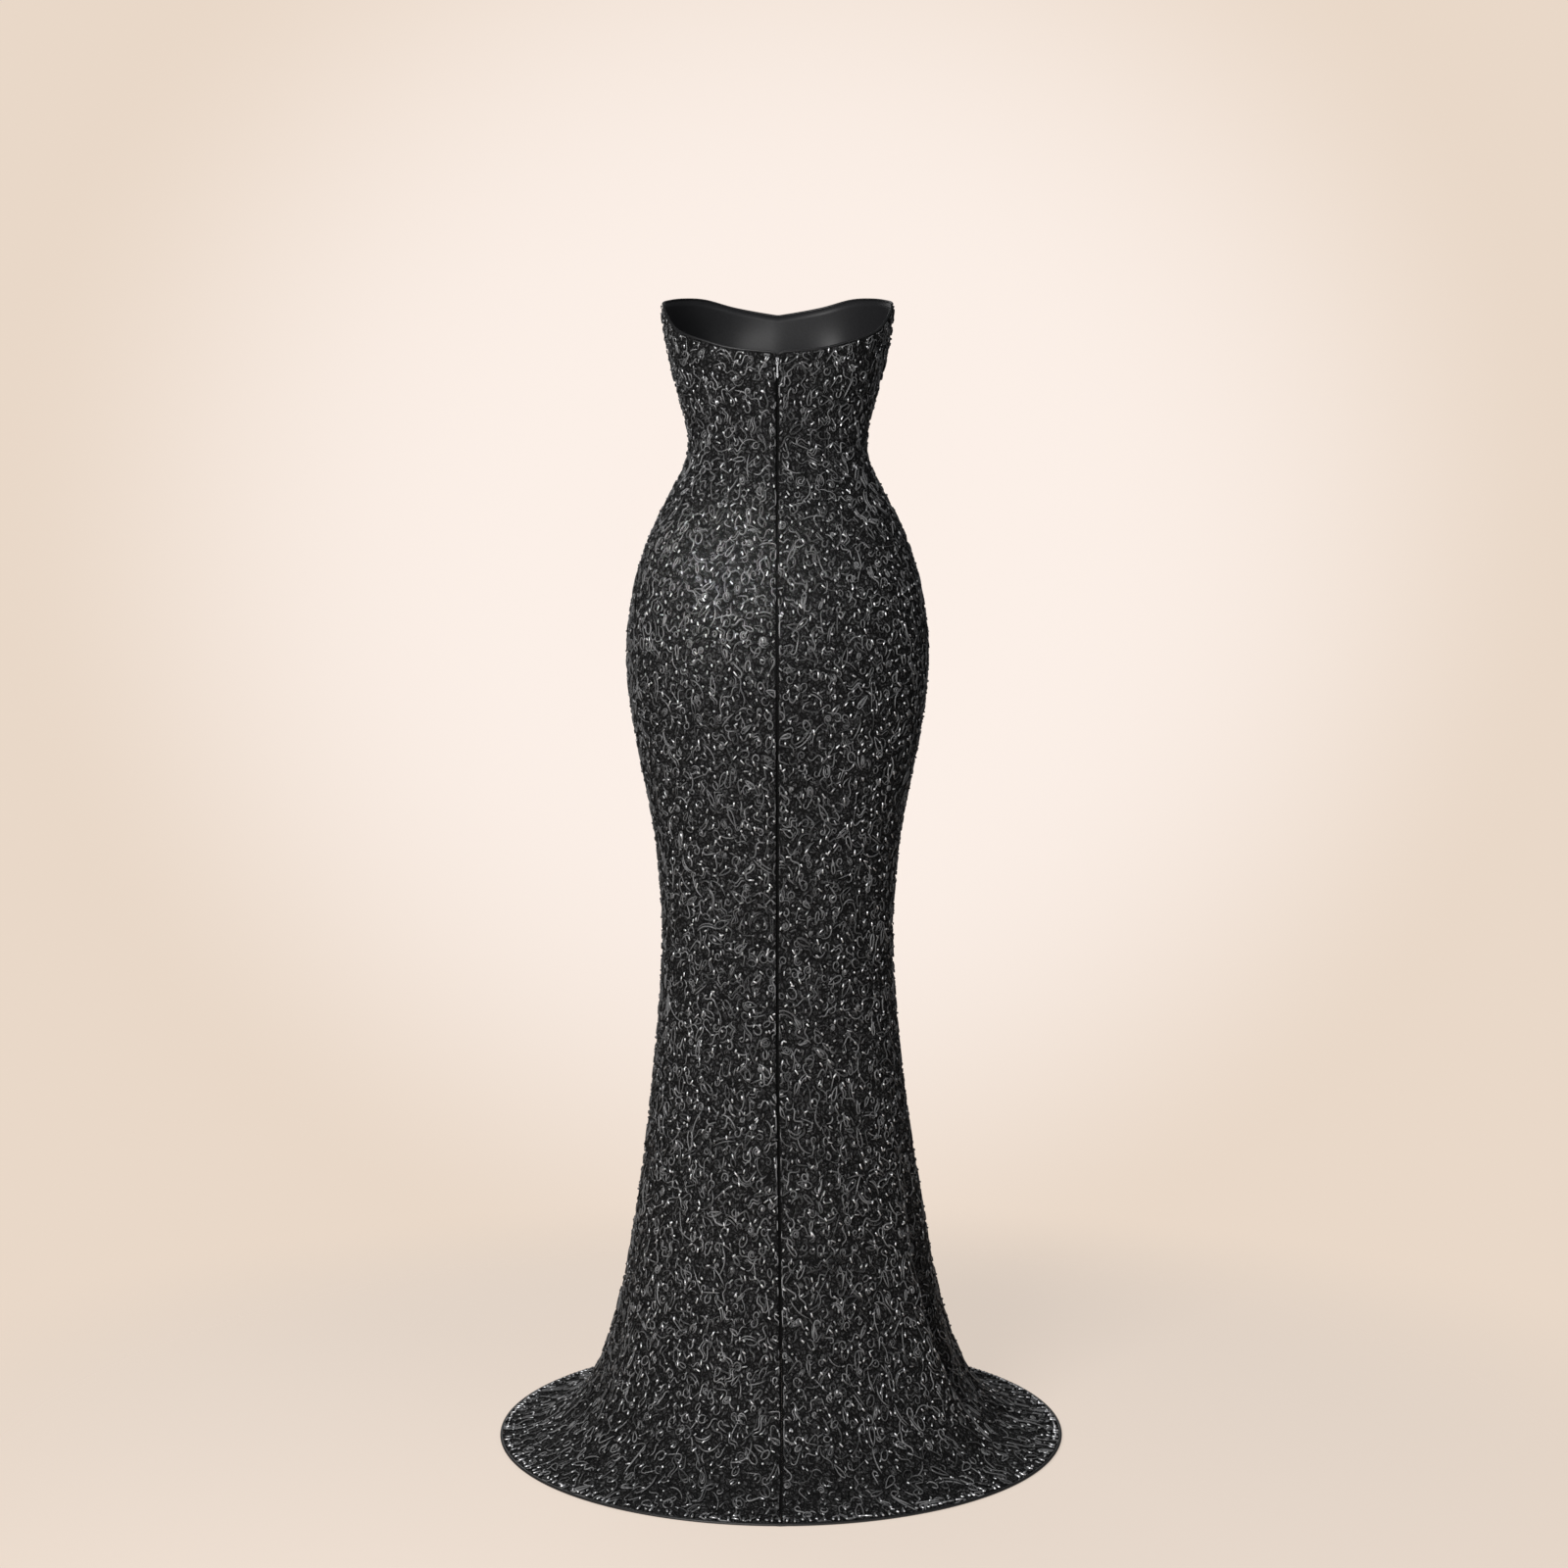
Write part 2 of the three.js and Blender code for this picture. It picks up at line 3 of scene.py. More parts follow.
import bpy
import numpy as np
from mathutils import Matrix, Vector


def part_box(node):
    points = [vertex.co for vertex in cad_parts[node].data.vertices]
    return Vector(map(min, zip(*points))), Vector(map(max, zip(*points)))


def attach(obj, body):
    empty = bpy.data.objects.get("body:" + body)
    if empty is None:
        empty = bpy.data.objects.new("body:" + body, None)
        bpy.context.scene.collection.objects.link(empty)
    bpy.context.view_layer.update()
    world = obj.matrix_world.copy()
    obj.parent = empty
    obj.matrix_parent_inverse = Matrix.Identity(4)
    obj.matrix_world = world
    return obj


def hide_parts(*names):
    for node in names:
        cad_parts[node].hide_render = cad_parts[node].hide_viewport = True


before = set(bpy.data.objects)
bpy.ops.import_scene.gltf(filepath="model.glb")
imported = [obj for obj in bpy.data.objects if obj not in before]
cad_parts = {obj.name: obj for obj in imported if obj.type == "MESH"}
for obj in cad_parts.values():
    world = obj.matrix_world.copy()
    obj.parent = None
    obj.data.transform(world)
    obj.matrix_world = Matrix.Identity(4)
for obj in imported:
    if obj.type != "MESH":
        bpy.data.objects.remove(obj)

bl_info = {
    "name": "Corded evening gown",
    "version": (1, 0, 0),
    "blender": (4, 5, 0),
    "location": "View3D > Sidebar > Gown",
    "description": "Builds a strapless trumpet gown in corded and beaded cloth around its packed solids",
    "category": "Object",
}

MM = 0.001
BODY = "gown"
CENTRE_BACK = 90.0
CENTRE_FRONT = 270.0

# The outside of the gown, in millimetres, as in the part's source. A point has an angle round the gown,
# 0 at the left side seam, 90 at the centre back, 180 at the right side seam and 270 at the centre front,
# and a distance down, measured along the side of the gown from its highest section.
# Columns of a section: height, half width, back depth, front depth, fullness and shift to the left.
SECTIONS = np.array([
    (215, 127, 104, 106, 0.1, 0),
    (155, 130, 101, 118, 0.1, 0),
    (100, 120.5, 96, 114, 0.1, 0),
    (50, 109.5, 89, 104, 0.08, 0),
    (22, 103, 85, 99, 0.06, 0),
    (0, 101, 83, 97, 0.05, 0),
    (-22, 105.5, 84, 98, 0.05, 0),
    (-50, 119.5, 90, 101, 0.06, 0),
    (-100, 144, 106, 107, 0.07, 0),
    (-150, 160, 119, 111, 0.07, 0),
    (-205, 169, 127, 112, 0.07, 0),
    (-250, 170, 127, 112, 0.07, 0),
    (-300, 165, 122, 110, 0.07, 0),
    (-360, 154, 114, 107, 0.06, 0),
    (-430, 140, 105, 102, 0.05, 0),
    (-500, 132.5, 98, 98, 0.04, 0),
    (-560, 130.3, 95, 96, 0.03, 0),
    (-650, 135.5, 98, 97, 0.02, 0),
    (-750, 146, 108, 105, 0.01, -1),
    (-850, 160.5, 127, 121, 0, -2.5),
    (-940, 177, 153, 144, 0, -3.5),
    (-1000, 194, 182, 171, 0, -4.5),
    (-1045, 212.5, 212, 203, 0, -5),
    (-1072, 233, 238, 231, 0, -5),
    (-1090, 257, 263, 260, 0, -4.5),
    (-1100, 286, 289, 288, 0, -4),
    (-1104.5, 315.4, 315.4, 315.4, 0, -4),
])

# Columns of the neckline: angle from the centre back and height.
NECKLINE = np.array([
    (0, 88),
    (23, 94),
    (43, 107),
    (55, 116),
    (64, 125),
    (72, 138),
    (82, 152),
    (90, 163),
    (105, 174),
    (125, 185),
    (142, 189),
    (160, 183),
    (180, 176),
])
NOTCH_DEPTH = 4.0
NOTCH_HALF_WIDTH = 5.0

# The fullness of the cups: distance across, height, reach, and its radius across and up.
CUP_ACROSS, CUP_Z, CUP_REACH, CUP_RADIUS_ACROSS, CUP_RADIUS_UP = 68.0, 128.0, 15.0, 44.0, 50.0

# Columns of a stitched line: on the back or not, distance across, top, bottom, depth and half width.
# A negative depth is a ridge. The first four are the zip's groove, its turned edges and the seam below.
CREASES = np.array([
    (1, 0, 120, -245, 2.4, 2.0),
    (1, 4.4, 120, -245, -0.7, 2.0),
    (1, 0, -225, -1140, 2.0, 1.8),
    (1, 3.8, -225, -1140, -0.6, 1.9),
    (1, 55, 70, -125, 1.5, 3.4),
    (1, 60, 70, -125, -0.4, 3.0),
    (0, 72, 105, -95, 1.4, 3.6),
])

# Columns of a skirt fold: angle, lean on the way down, the heights where it starts, is deepest and
# runs out, depth, or height if negative, and half angle.
FOLDS = np.array([
    (154, 6, -750, -990, -1104, 19, 6),
    (172, 2, -850, -1055, -1104, 9, 9),
    (141, 4, -790, -1020, -1104, -7, 9),
    (117, 3, -880, -1050, -1104, 4, 10),
    (63, -3, -900, -1050, -1104, 3, 10),
    (41, -3, -860, -1040, -1104, -3, 11),
    (23, -5, -900, -1055, -1104, 5, 8),
    (341, 5, -870, -1050, -1104, 10, 8),
    (322, 3, -850, -1040, -1104, -4, 10),
    (301, 2, -890, -1050, -1104, 5, 9),
    (262, -2, -910, -1055, -1104, 4, 11),
    (229, -3, -870, -1050, -1104, 7, 9),
    (211, -4, -860, -1040, -1104, -4, 9),
])

# Soft creases of the worn cloth. Columns: angle, height, turn from level in degrees,
# half length, half width and depth, or height if negative.
SOFT_CREASES = np.array([
    (28, 14, 8, 46, 7, 1.1),
    (24, -8, -6, 40, 6, 0.9),
    (150, 16, -10, 48, 7, 1.3),
    (158, -6, 4, 42, 6, 1.1),
    (118, 4, -3, 30, 6, 0.7),
    (62, 6, 5, 32, 6, 0.6),
    (66, -330, 14, 60, 12, 1.2),
    (112, -345, -16, 66, 12, 1.3),
    (75, -392, 9, 50, 11, 0.9),
    (104, -410, -7, 54, 11, 0.9),
    (48, -520, 22, 60, 12, 0.9),
    (133, -540, -24, 60, 12, 1.0),
    (90, -600, 80, 95, 16, 0.8),
    (210, 10, 8, 44, 7, 1.1),
    (332, 12, -9, 46, 7, 1.0),
    (252, -70, 12, 52, 10, 0.8),
    (288, -78, -10, 50, 10, 0.9),
    (246, -360, 12, 60, 13, 1.0),
    (296, -352, -14, 62, 13, 1.1),
    (270, -560, 84, 100, 17, 0.8),
])

# Beside a soft crease the cloth rises: a share of its depth, so many half widths away from it.
RISE_SHARE, RISE_AWAY = 0.35, 1.7

# Depths of the cloth's layers below its outside, the tops of its cords.
CLOTH_OUT = -1.0
CLOTH_IN = -2.5
SEAM_GAP = 0.3
SEAM_OPEN = 0.02
ZIP_END_Z = -235.0
NECK_BINDING_HEIGHT = 2.0
HEM_BINDING_WIDTH = 3.0
# How much further than its own width a binding reaches in, over the cloth's edge.
EDGE_OVERLAP = 0.2
HIP_Z = -230.0
# The bare strip beside the zip and the seam, and how far out its edge fades.
PLAIN_STRIP, PLAIN_FADE = 1.7, 0.9

# Distances that pieces keep from the centre back, the neckline's edge and the hem's edge.
CORD_MARGINS = (2.7, 4.2, 3.8)
STROKE_MARGINS = (2.8, 4.2, 3.8)
BEAD_MARGINS = (3.6, 4.8, 15.0)

# How much larger and sparser the scrolls get on the flare, and the heights where that starts and is full.
FLARE_GROWTH = 0.32
FLARE_TOP_Z, FLARE_FULL_Z = -1040.0, -1088.0
# Towards a side seam the cords and beads are painted darker, a painted shade: where that starts and over
# what span, as shares of the gown's half width, and by how much.
SIDE_START, SIDE_SPAN = 0.78, 0.2
CORD_SIDE_SHADE, BEAD_SIDE_SHADE = 0.2, 0.6

# Column lines of a half, as distances from its centre line, then evenly spread ones to the side seam.
BACK_LINES = (0, 1.1, 2.2, 3.4, 4.7, 6.2, 9, 13, 19, 26, 33, 39, 44, 48, 51.5, 55, 58, 61, 65)
FRONT_LINES = (0, 9, 18, 27, 36, 45, 53, 60, 65, 69, 72, 75, 79, 84)
SIDE_COLUMNS = 15

# Bands of rows: the height where each ends and how many rows it has.
BANDS = ((30, 22), (-60, 22), (ZIP_END_Z, 30), (-900, 84), (-1104.5, 50))

# The zip's tapes: how many bands they run down, how wide and how thick they are.
TAPE_BANDS = 3
TAPE_WIDTH, TAPE_THICKNESS = 13, 0.9

# Even places on the cloth: cells of its table of areas down and round the gown, the two steps of the
# sequence, and how far a place is moved off it as a share of the spacing.
CELLS_DOWN, CELLS_ROUND = 700, 360
PLACE_STEPS = (0.7548776662466927, 0.5698402909980532)
PLACE_JITTER = 0.2

# Photograph and camera. The camera is level, at the height and distance that the hem's ellipse gives.
PHOTO_SIZE = 1600
PHOTO_MIDDLE_X = 800.0
AXIS_PIXEL_X = 793.5
FOCAL_PIXELS = 2038.0
CAMERA_DISTANCE = 2.264
CAMERA_HEIGHT = 0.725
SENSOR_WIDTH = 36.0


def smooth_curve(stops, values):
    """A cubic between each two stops, with the slope at a stop taken from the stops beside it."""
    last = len(stops) - 1
    before = np.maximum(np.arange(last + 1) - 1, 0)
    after = np.minimum(np.arange(last + 1) + 1, last)
    slopes = (values[after] - values[before]) / (stops[after] - stops[before])

    def curve(at):
        at = np.clip(at, stops[0], stops[last])
        row = np.clip(np.searchsorted(stops, at, side="left") - 1, 0, last - 1)
        span = stops[row + 1] - stops[row]
        t = (at - stops[row]) / span
        left = 1 - t
        at_row = left * left * (1 + 2 * t) * values[row]
        at_next = t * t * (3 - 2 * t) * values[row + 1]
        bend = t * left * span * (left * slopes[row] - t * slopes[row + 1])
        return at_row + at_next + bend

    return curve


def smooth_step(value):
    """Nothing below 0, all above 1, and a smooth rise between."""
    t = np.clip(value, 0.0, 1.0)
    return t * t * (3 - 2 * t)


STEPS = np.hypot(np.diff(SECTIONS[:, 1]), np.diff(SECTIONS[:, 0]))
SECTION_DOWN = np.concatenate([[0.0], np.cumsum(STEPS)])
TOTAL_DOWN = SECTION_DOWN[-1]
height_at, width_at, back_at, front_at, fullness_at, shift_at = (
    smooth_curve(SECTION_DOWN, SECTIONS[:, column]) for column in range(6)
)
neck_height = smooth_curve(NECKLINE[:, 0], NECKLINE[:, 1])
DOWN_STOPS = np.linspace(0.0, TOTAL_DOWN, 6001)
HEIGHT_STOPS = height_at(DOWN_STOPS)


def down_at(z):
    """The distance down at which the gown has a height, read off a dense table of heights."""
    return np.interp(-np.asarray(z, float), -HEIGHT_STOPS, DOWN_STOPS)


HIP_DOWN = float(down_at(HIP_Z))
HEM_EDGE = TOTAL_DOWN - HEM_BINDING_WIDTH - SEAM_GAP


def plain_point(angle, down):
    """A point of the section: an ellipse that is filled out between its axes."""
    c, s = np.cos(np.radians(angle)), np.sin(np.radians(angle))
    depth = np.where(s > 0, back_at(down), front_at(down))
    fullness = fullness_at(down)
    x = width_at(down) * c * (1 + fullness * s * s) + shift_at(down)
    y = depth * s * (1 + fullness * c * c)
    z = height_at(down) + np.zeros_like(x)
    return np.stack([x, y, z], axis=-1)


def unit(vectors):
    """The vectors at a length of one."""
    return vectors / np.maximum(np.linalg.norm(vectors, axis=-1, keepdims=True), 1e-12)


def slopes_of(surface, angle, down):
    """How a surface function runs round the gown, per degree, and down it, per millimetre."""
    turn, step = 0.05, 0.5
    above, below = np.maximum(down - step, 0), np.minimum(down + step, TOTAL_DOWN)
    round_it = (surface(angle + turn, down) - surface(angle - turn, down)) / (2 * turn)
    fall = (surface(angle, below) - surface(angle, above)) / (below - above)[..., None]
    return round_it, fall


def plain_normal(angle, down):
    """Outward direction of the plain surface: down it crossed with round it."""
    round_it, fall = slopes_of(plain_point, angle, down)
    return unit(np.cross(fall, round_it))


def spread(down):
    """How much wider the gown is than at the hip, for lines that spread with the skirt below it."""
    return np.where(down > HIP_DOWN, width_at(down) / width_at(HIP_DOWN), 1.0)


def turn_at(across, down):
    """Degrees from a centre line at which the section reaches a distance across."""
    share = across * spread(down) / width_at(down)
    fullness = fullness_at(down)
    turn = np.arcsin(share)
    for _ in range(6):
        turn = np.arcsin(share / (1 + fullness * np.cos(turn) ** 2))
    return np.degrees(turn)


def crease_relief(angle, down, point):
    """Stitched lines: a bell-shaped groove beside each stated distance, faded at its two ends."""
    is_back = np.sin(np.radians(angle)) > 0
    across = np.abs(point[..., 0] - shift_at(down)) / spread(down)
    relief = np.zeros_like(across)
    for on_back, line, top, bottom, depth, half_width in CREASES:
        middle, reach = (top + bottom) / 2, (top - bottom) / 2
        ends = smooth_step((1 - np.abs(point[..., 2] - middle) / reach) * 3)
        bell = np.exp(-(((across - line) / half_width) ** 2))
        relief -= np.where(is_back == bool(on_back), depth * ends * bell, 0.0)
    return relief


def nearest_turn(degrees):
    """The same turn as a number between -180 and 180."""
    return degrees - 360 * np.round(degrees / 360)


def fold_relief(angle, z):
    """Skirt folds: a bell across the fold's angle, growing to its deepest height and then running out."""
    relief = np.zeros_like(z)
    for middle, lean, top, deep, end, depth, half_angle in FOLDS:
        grown = smooth_step((top - z) / (top - deep))
        left = smooth_step((z - end) / (deep - end))
        off = nearest_turn(angle - middle - lean * np.clip((top - z) / (top - end), 0, 1))
        relief -= depth * grown * left * np.exp(-((off / half_angle) ** 2))
    return relief


def cup_relief(point):
    """The cups: a bell across and up, on the front alone."""
    across = (np.abs(point[..., 0]) - CUP_ACROSS) / CUP_RADIUS_ACROSS
    up = (point[..., 2] - CUP_Z) / CUP_RADIUS_UP
    return np.where(point[..., 1] > 0, 0.0, CUP_REACH * np.exp(-(across**2) - up**2))


def soft_relief(angle, down, z):
    """Soft creases: a bell across each line, a wider one along it, and a low rise on its lower side."""
    relief = np.zeros_like(z)
    for middle, height, tilt, half_length, half_width, depth in SOFT_CREASES:
        level = np.radians(nearest_turn(angle - middle)) * width_at(down)
        fall = down - down_at(height)
        c, s = math.cos(math.radians(tilt)), math.sin(math.radians(tilt))
        along = ((level * c + fall * s) / half_length) ** 2
        across = (fall * c - level * s) / half_width
        rise = RISE_SHARE * np.exp(-along - (across - RISE_AWAY) ** 2)
        relief -= depth * (np.exp(-along - across**2) - rise)
    return relief


def cloth_point(angle, down, out=0.0):
    """A point of the worn cloth at a distance outside its surface, or inside it if negative."""
    point = plain_point(angle, down)
    z = point[..., 2]
    relief = cup_relief(point) + crease_relief(angle, down, point)
    relief = relief + fold_relief(angle, z) + soft_relief(angle, down, z)
    return point + plain_normal(angle, down) * (relief + out)[..., None]


def cloth_frame(angle, down):
    """Unit directions on the worn cloth, round it, down it and out of it, and its stretch each way."""
    round_it, fall = slopes_of(cloth_point, angle, down)
    out = unit(np.cross(fall, round_it))
    stretch = (np.linalg.norm(round_it, axis=-1), np.linalg.norm(fall, axis=-1))
    return unit(round_it), unit(fall), out, stretch


def neck_down(angle):
    """Distance down to the top edge, with the small notch at the centre back."""
    off = np.abs(angle - CENTRE_BACK) % 360
    from_back = np.minimum(off, 360 - off)
    edge = down_at(neck_height(from_back))
    across = np.abs(plain_point(angle, edge)[..., 0])
    notch = np.where(from_back < 90, np.maximum(1 - across / NOTCH_HALF_WIDTH, 0), 0.0)
    return edge + NOTCH_DEPTH * notch


def rows_from(top):
    """Distances down from each column's own top through the bands, one array row for each column."""
    rows = [top]
    for band, (z_end, count) in enumerate(BANDS):
        start = rows[-1]
        end = HEM_EDGE if band == len(BANDS) - 1 else float(down_at(z_end))
        rows += [start + (end - start) * step / count for step in range(1, count + 1)]
    return np.stack(rows, axis=-1)


def half_angles(centre, side, lines, down):
    """Angles of a half's column lines at distances down, from the centre line out to the side seam."""
    near = np.stack([centre + side * turn_at(line, down[i]) for i, line in enumerate(lines)])
    shares = np.arange(1, SIDE_COLUMNS + 1)[:, None] / SIDE_COLUMNS
    return np.concatenate([near, near[-1] + (centre + 90 * side - near[-1]) * shares])


def half_grid(centre, side, lines):
    """Angles and distances down of a half's grid. The rows start at the top edge of each column."""
    count = len(lines) + SIDE_COLUMNS
    total = sum(band[1] for band in BANDS) + 1
    down = np.full((count, total), float(down_at(NECKLINE[0, 1])))
    for _ in range(4):
        angles = half_angles(centre, side, lines, down)
        top = neck_down(angles[:, 0]) + NECK_BINDING_HEIGHT + SEAM_GAP
        down = rows_from(top)
    return angles, down


def seam_shift(angles, down, column, side):
    """Moves a column of a grid off its seam by half of what the seam is open."""
    probe = 0.2
    edge = angles[column]
    moved = plain_point(edge + probe, down[column]) - plain_point(edge, down[column])
    angles[column] = edge + side * probe * SEAM_OPEN / 2 / np.linalg.norm(moved, axis=-1)


def panel_grid(name):
    """Angles and distances down of a panel's grid, columns in the order of rising angle."""
    if name == "front":
        left = half_grid(CENTRE_FRONT, 1, FRONT_LINES)
        right = half_grid(CENTRE_FRONT, -1, FRONT_LINES)
        angles, down = (np.concatenate([r[::-1], m[1:]]) for r, m in zip(right, left))
    elif name == "back_left":
        angles, down = (grid[::-1].copy() for grid in half_grid(CENTRE_BACK, -1, BACK_LINES))
    else:
        angles, down = half_grid(CENTRE_BACK, 1, BACK_LINES)
    seam_shift(angles, down, 0, 1)
    seam_shift(angles, down, -1, -1)
    return angles, down


def mesh_object(name, points, faces, materials, face_material=None):
    """A smooth mesh piece from an array of points, in millimetres, and an array of faces of one size."""
    mesh = bpy.data.meshes.new(name)
    mesh.vertices.add(len(points))
    mesh.vertices.foreach_set("co", (points * MM).astype(np.float32).ravel())
    mesh.loops.add(faces.size)
    mesh.loops.foreach_set("vertex_index", faces.astype(np.int32).ravel())
    mesh.polygons.add(len(faces))
    starts = np.arange(0, faces.size, faces.shape[1], dtype=np.int32)
    mesh.polygons.foreach_set("loop_start", starts)
    mesh.update(calc_edges=True)
    for material in materials:
        mesh.materials.append(material)
    if face_material is not None:
        mesh.polygons.foreach_set("material_index", face_material.astype(np.int32))
    mesh.polygons.foreach_set("use_smooth", np.ones(len(faces), bool))
    mesh.validate()
    piece = bpy.data.objects.new(name, mesh)
    bpy.context.scene.collection.objects.link(piece)
    return piece


def add_point_values(piece, name, values):
    """A named number on each point of a piece, for its material to read."""
    attribute = piece.data.attributes.new(name, "FLOAT", "POINT")
    attribute.data.foreach_set("value", values.astype(np.float32).ravel())


def cells(grid):
    """Quads between the points of a grid of point numbers."""
    return np.stack([grid[:-1, :-1], grid[:-1, 1:], grid[1:, 1:], grid[1:, :-1]], -1).reshape(-1, 4)


def split(quads):
    """Two triangles for each quad."""
    return np.concatenate([quads[:, [0, 1, 2]], quads[:, [0, 2, 3]]])


def fan(ring):
    """Triangles that close a ring of point numbers, from its first one."""
    return np.stack([np.full(len(ring) - 2, ring[0]), ring[1:-1], ring[2:]], -1)


def tube_faces(steps, sides, closed=False):
    """Triangles of a tube with a ring of points at each step. Its ends are joined, or else closed."""
    grid = np.arange(steps * sides).reshape(steps, sides)
    tube = np.hstack([grid, grid[:, :1]])
    if closed:
        return split(cells(np.vstack([tube, tube[:1]])))
    return np.concatenate([split(cells(tube)), fan(grid[0])[:, ::-1], fan(grid[-1])])


def repeated(faces, count, points_each):
    """The faces of one small piece, again for each of so many alike."""
    offset = np.arange(count)[:, None, None] * points_each
    return (faces[None] + offset).reshape(-1, faces.shape[1])


def wall_piece(name, angles, down, outer, inner, materials):
    """A closed wall over a grid, between two distances out from the cloth's surface. Its inner side
    and its rims have the last of the materials."""
    points = np.stack([cloth_point(angles, down, np.full(angles.shape, out)) for out in (outer, inner)])
    grid = np.arange(2 * angles.size).reshape(2, *angles.shape)
    parts = [grid[0], grid[1].T, grid[:, :, 0], grid[:, :, -1].T, grid[:, 0].T, grid[:, -1]]
    faces = [cells(part) for part in parts]
    kinds = np.repeat([0] + [len(materials) - 1] * 5, [len(part) for part in faces])
    return mesh_object(name, points.reshape(-1, 3), np.concatenate(faces), materials, kinds)


def swept_piece(name, path, across, out, profile, material, closed=False):
    """A profile carried along a path: a profile point is a distance across and out at each step."""
    sides = across[:, None] * profile[None, :, :1] + out[:, None] * profile[None, :, 1:]
    points = (path[:, None] + sides).reshape(-1, 3)
    return mesh_object(name, points, tube_faces(len(path), len(profile), closed), [material])


def flare_share(down):
    """How far a place lies down the flare: nothing above it, one on its lower part."""
    top, full = float(down_at(FLARE_TOP_Z)), float(down_at(FLARE_FULL_Z))
    return smooth_step((down - top) / (full - top))


def grown_at(down):
    """How much larger a scroll is at a distance down: one, and more on the flare."""
    return 1 + FLARE_GROWTH * flare_share(down)


def even_places(count, seed):
    """Even but irregular places on the whole cloth: a two-number low-discrepancy sequence, shifted at
    random, spread by the cloth's area and moved a little. Gives each place's angle and distance down."""
    rng = np.random.default_rng(seed)
    shift = rng.uniform(0, 1, 2)
    row_height, turn = TOTAL_DOWN / CELLS_DOWN, 360 / CELLS_ROUND
    middles = (np.arange(CELLS_ROUND) + 0.5) * turn, (np.arange(CELLS_DOWN) + 0.5) * row_height
    angle, down = np.meshgrid(*middles)
    area = np.linalg.norm(np.cross(*slopes_of(plain_point, angle, down)), axis=-1)
    on_cloth = (down > neck_down(angle)) & (down < HEM_EDGE)
    area = area * on_cloth / grown_at(down) ** 2
    by_row = np.concatenate([[0.0], np.cumsum(area.sum(1))])
    by_angle = np.concatenate([np.zeros((CELLS_DOWN, 1)), np.cumsum(area, 1)], 1)
    share = by_angle / np.maximum(by_angle[:, -1:], 1e-9)
    first, second = ((shift[k] + np.arange(1, count + 1) * PLACE_STEPS[k]) % 1 for k in (0, 1))
    place_down = np.interp(first * by_row[-1], by_row, np.linspace(0, TOTAL_DOWN, CELLS_DOWN + 1))
    row = np.minimum((place_down / TOTAL_DOWN * CELLS_DOWN).astype(int), CELLS_DOWN - 1)
    place_angle = np.empty(count)
    for level in np.unique(row):
        here = row == level
        place_angle[here] = np.interp(second[here], share[level], np.linspace(0, 360, CELLS_ROUND + 1))
    spacing = math.sqrt(area.sum() * row_height * turn / count)
    jitter = rng.normal(0, PLACE_JITTER * spacing, (2, count))
    stretch = [np.linalg.norm(slope, axis=-1) for slope in slopes_of(plain_point, place_angle, place_down)]
    place_angle += jitter[0] / stretch[0]
    place_down += jitter[1] / stretch[1]
    return place_angle % 360, np.clip(place_down, 1.0, TOTAL_DOWN - 1.0)


def keep_on_cloth(angle, down, middle_angle, margins):
    """Moves points that would cross the centre back, the top edge or the hem back onto the cloth."""
    stretch = np.linalg.norm(slopes_of(plain_point, np.full_like(down, CENTRE_BACK), down)[0], axis=-1)
    gap = margins[0] / stretch
    on_left = (middle_angle <= CENTRE_BACK) | (middle_angle > CENTRE_FRONT)
    past = (angle - CENTRE_BACK + 180) % 360 - 180
    past = np.where(on_left, np.minimum(past, np.where(past > 90, past, -gap)), past)
    past = np.where(~on_left, np.maximum(past, np.where(past < -90, past, gap)), past)
    angle = CENTRE_BACK + past
    down = np.maximum(down, neck_down(angle) + margins[1])
    return angle, np.minimum(down, TOTAL_DOWN - margins[2])


def side_shade_share(angle, down):
    """How far a place lies towards a side seam: nothing over most of the back and front and on the
    flare, one at the seam above it. It sets how much painted shade the cords and beads get there."""
    beside = smooth_step((np.abs(np.cos(np.radians(angle))) - SIDE_START) / SIDE_SPAN)
    return beside * (1 - flare_share(down))


def panel_of(angle):
    """0 for the front, 1 for the back left and 2 for the back right panel."""
    angle = angle % 360
    return np.where(angle >= 180, 0, np.where(angle <= CENTRE_BACK, 1, 2))


# Scrollwork. Each motif is a short open line of one number of points, in its own flat millimetres. Its
# size is a column, with one row for each line to be drawn.
MOTIF_POINTS = 10


def scroll_line(t, size, rng):
    """Scrolls: a spiral of about one turn that tightens to its middle."""
    turn = t * rng.uniform(5.4, 7.6, size.shape)
    radius = size * (1 - 0.72 * t)
    return np.stack([radius * np.cos(turn), radius * np.sin(turn)], -1)


def ring_line(t, size, rng):
    """Rings: an ellipse that is all but closed."""
    turn = t * rng.uniform(5.4, 6.2, size.shape)
    flat = rng.uniform(0.5, 0.8, size.shape)
    return np.stack([size * np.cos(turn), size * flat * np.sin(turn)], -1)


def wave_line(t, size, rng):
    """Waves: one and a half swings across a straight run."""
    swing = size * rng.uniform(0.35, 0.6, size.shape)
    run = size * 3.6 * (t - 0.5)
    return np.stack([run, swing * np.sin(t * rng.uniform(6.0, 9.5, size.shape))], -1)


def hook_line(t, size, rng):
    """Hooks: a straight stem that turns into a half circle."""
    straight = 0.45
    bend = np.clip((t - straight) / (1 - straight), 0, 1) * rng.uniform(2.6, 4.4, size.shape)
    radius = size * 0.62
    stem = -size * 2.1 * np.clip(straight - t, 0, 1) / straight
    return np.stack([radius * np.sin(bend) + stem, radius * (1 - np.cos(bend))], -1)


def stem_line(t, size, rng):
    """Stems: a long line with a slight bow."""
    run = size * 4.4 * (t - 0.5)
    bow = size * rng.uniform(-1.3, 1.3, size.shape)
    return np.stack([run, bow * (1 - (2 * t - 1) ** 2)], -1)


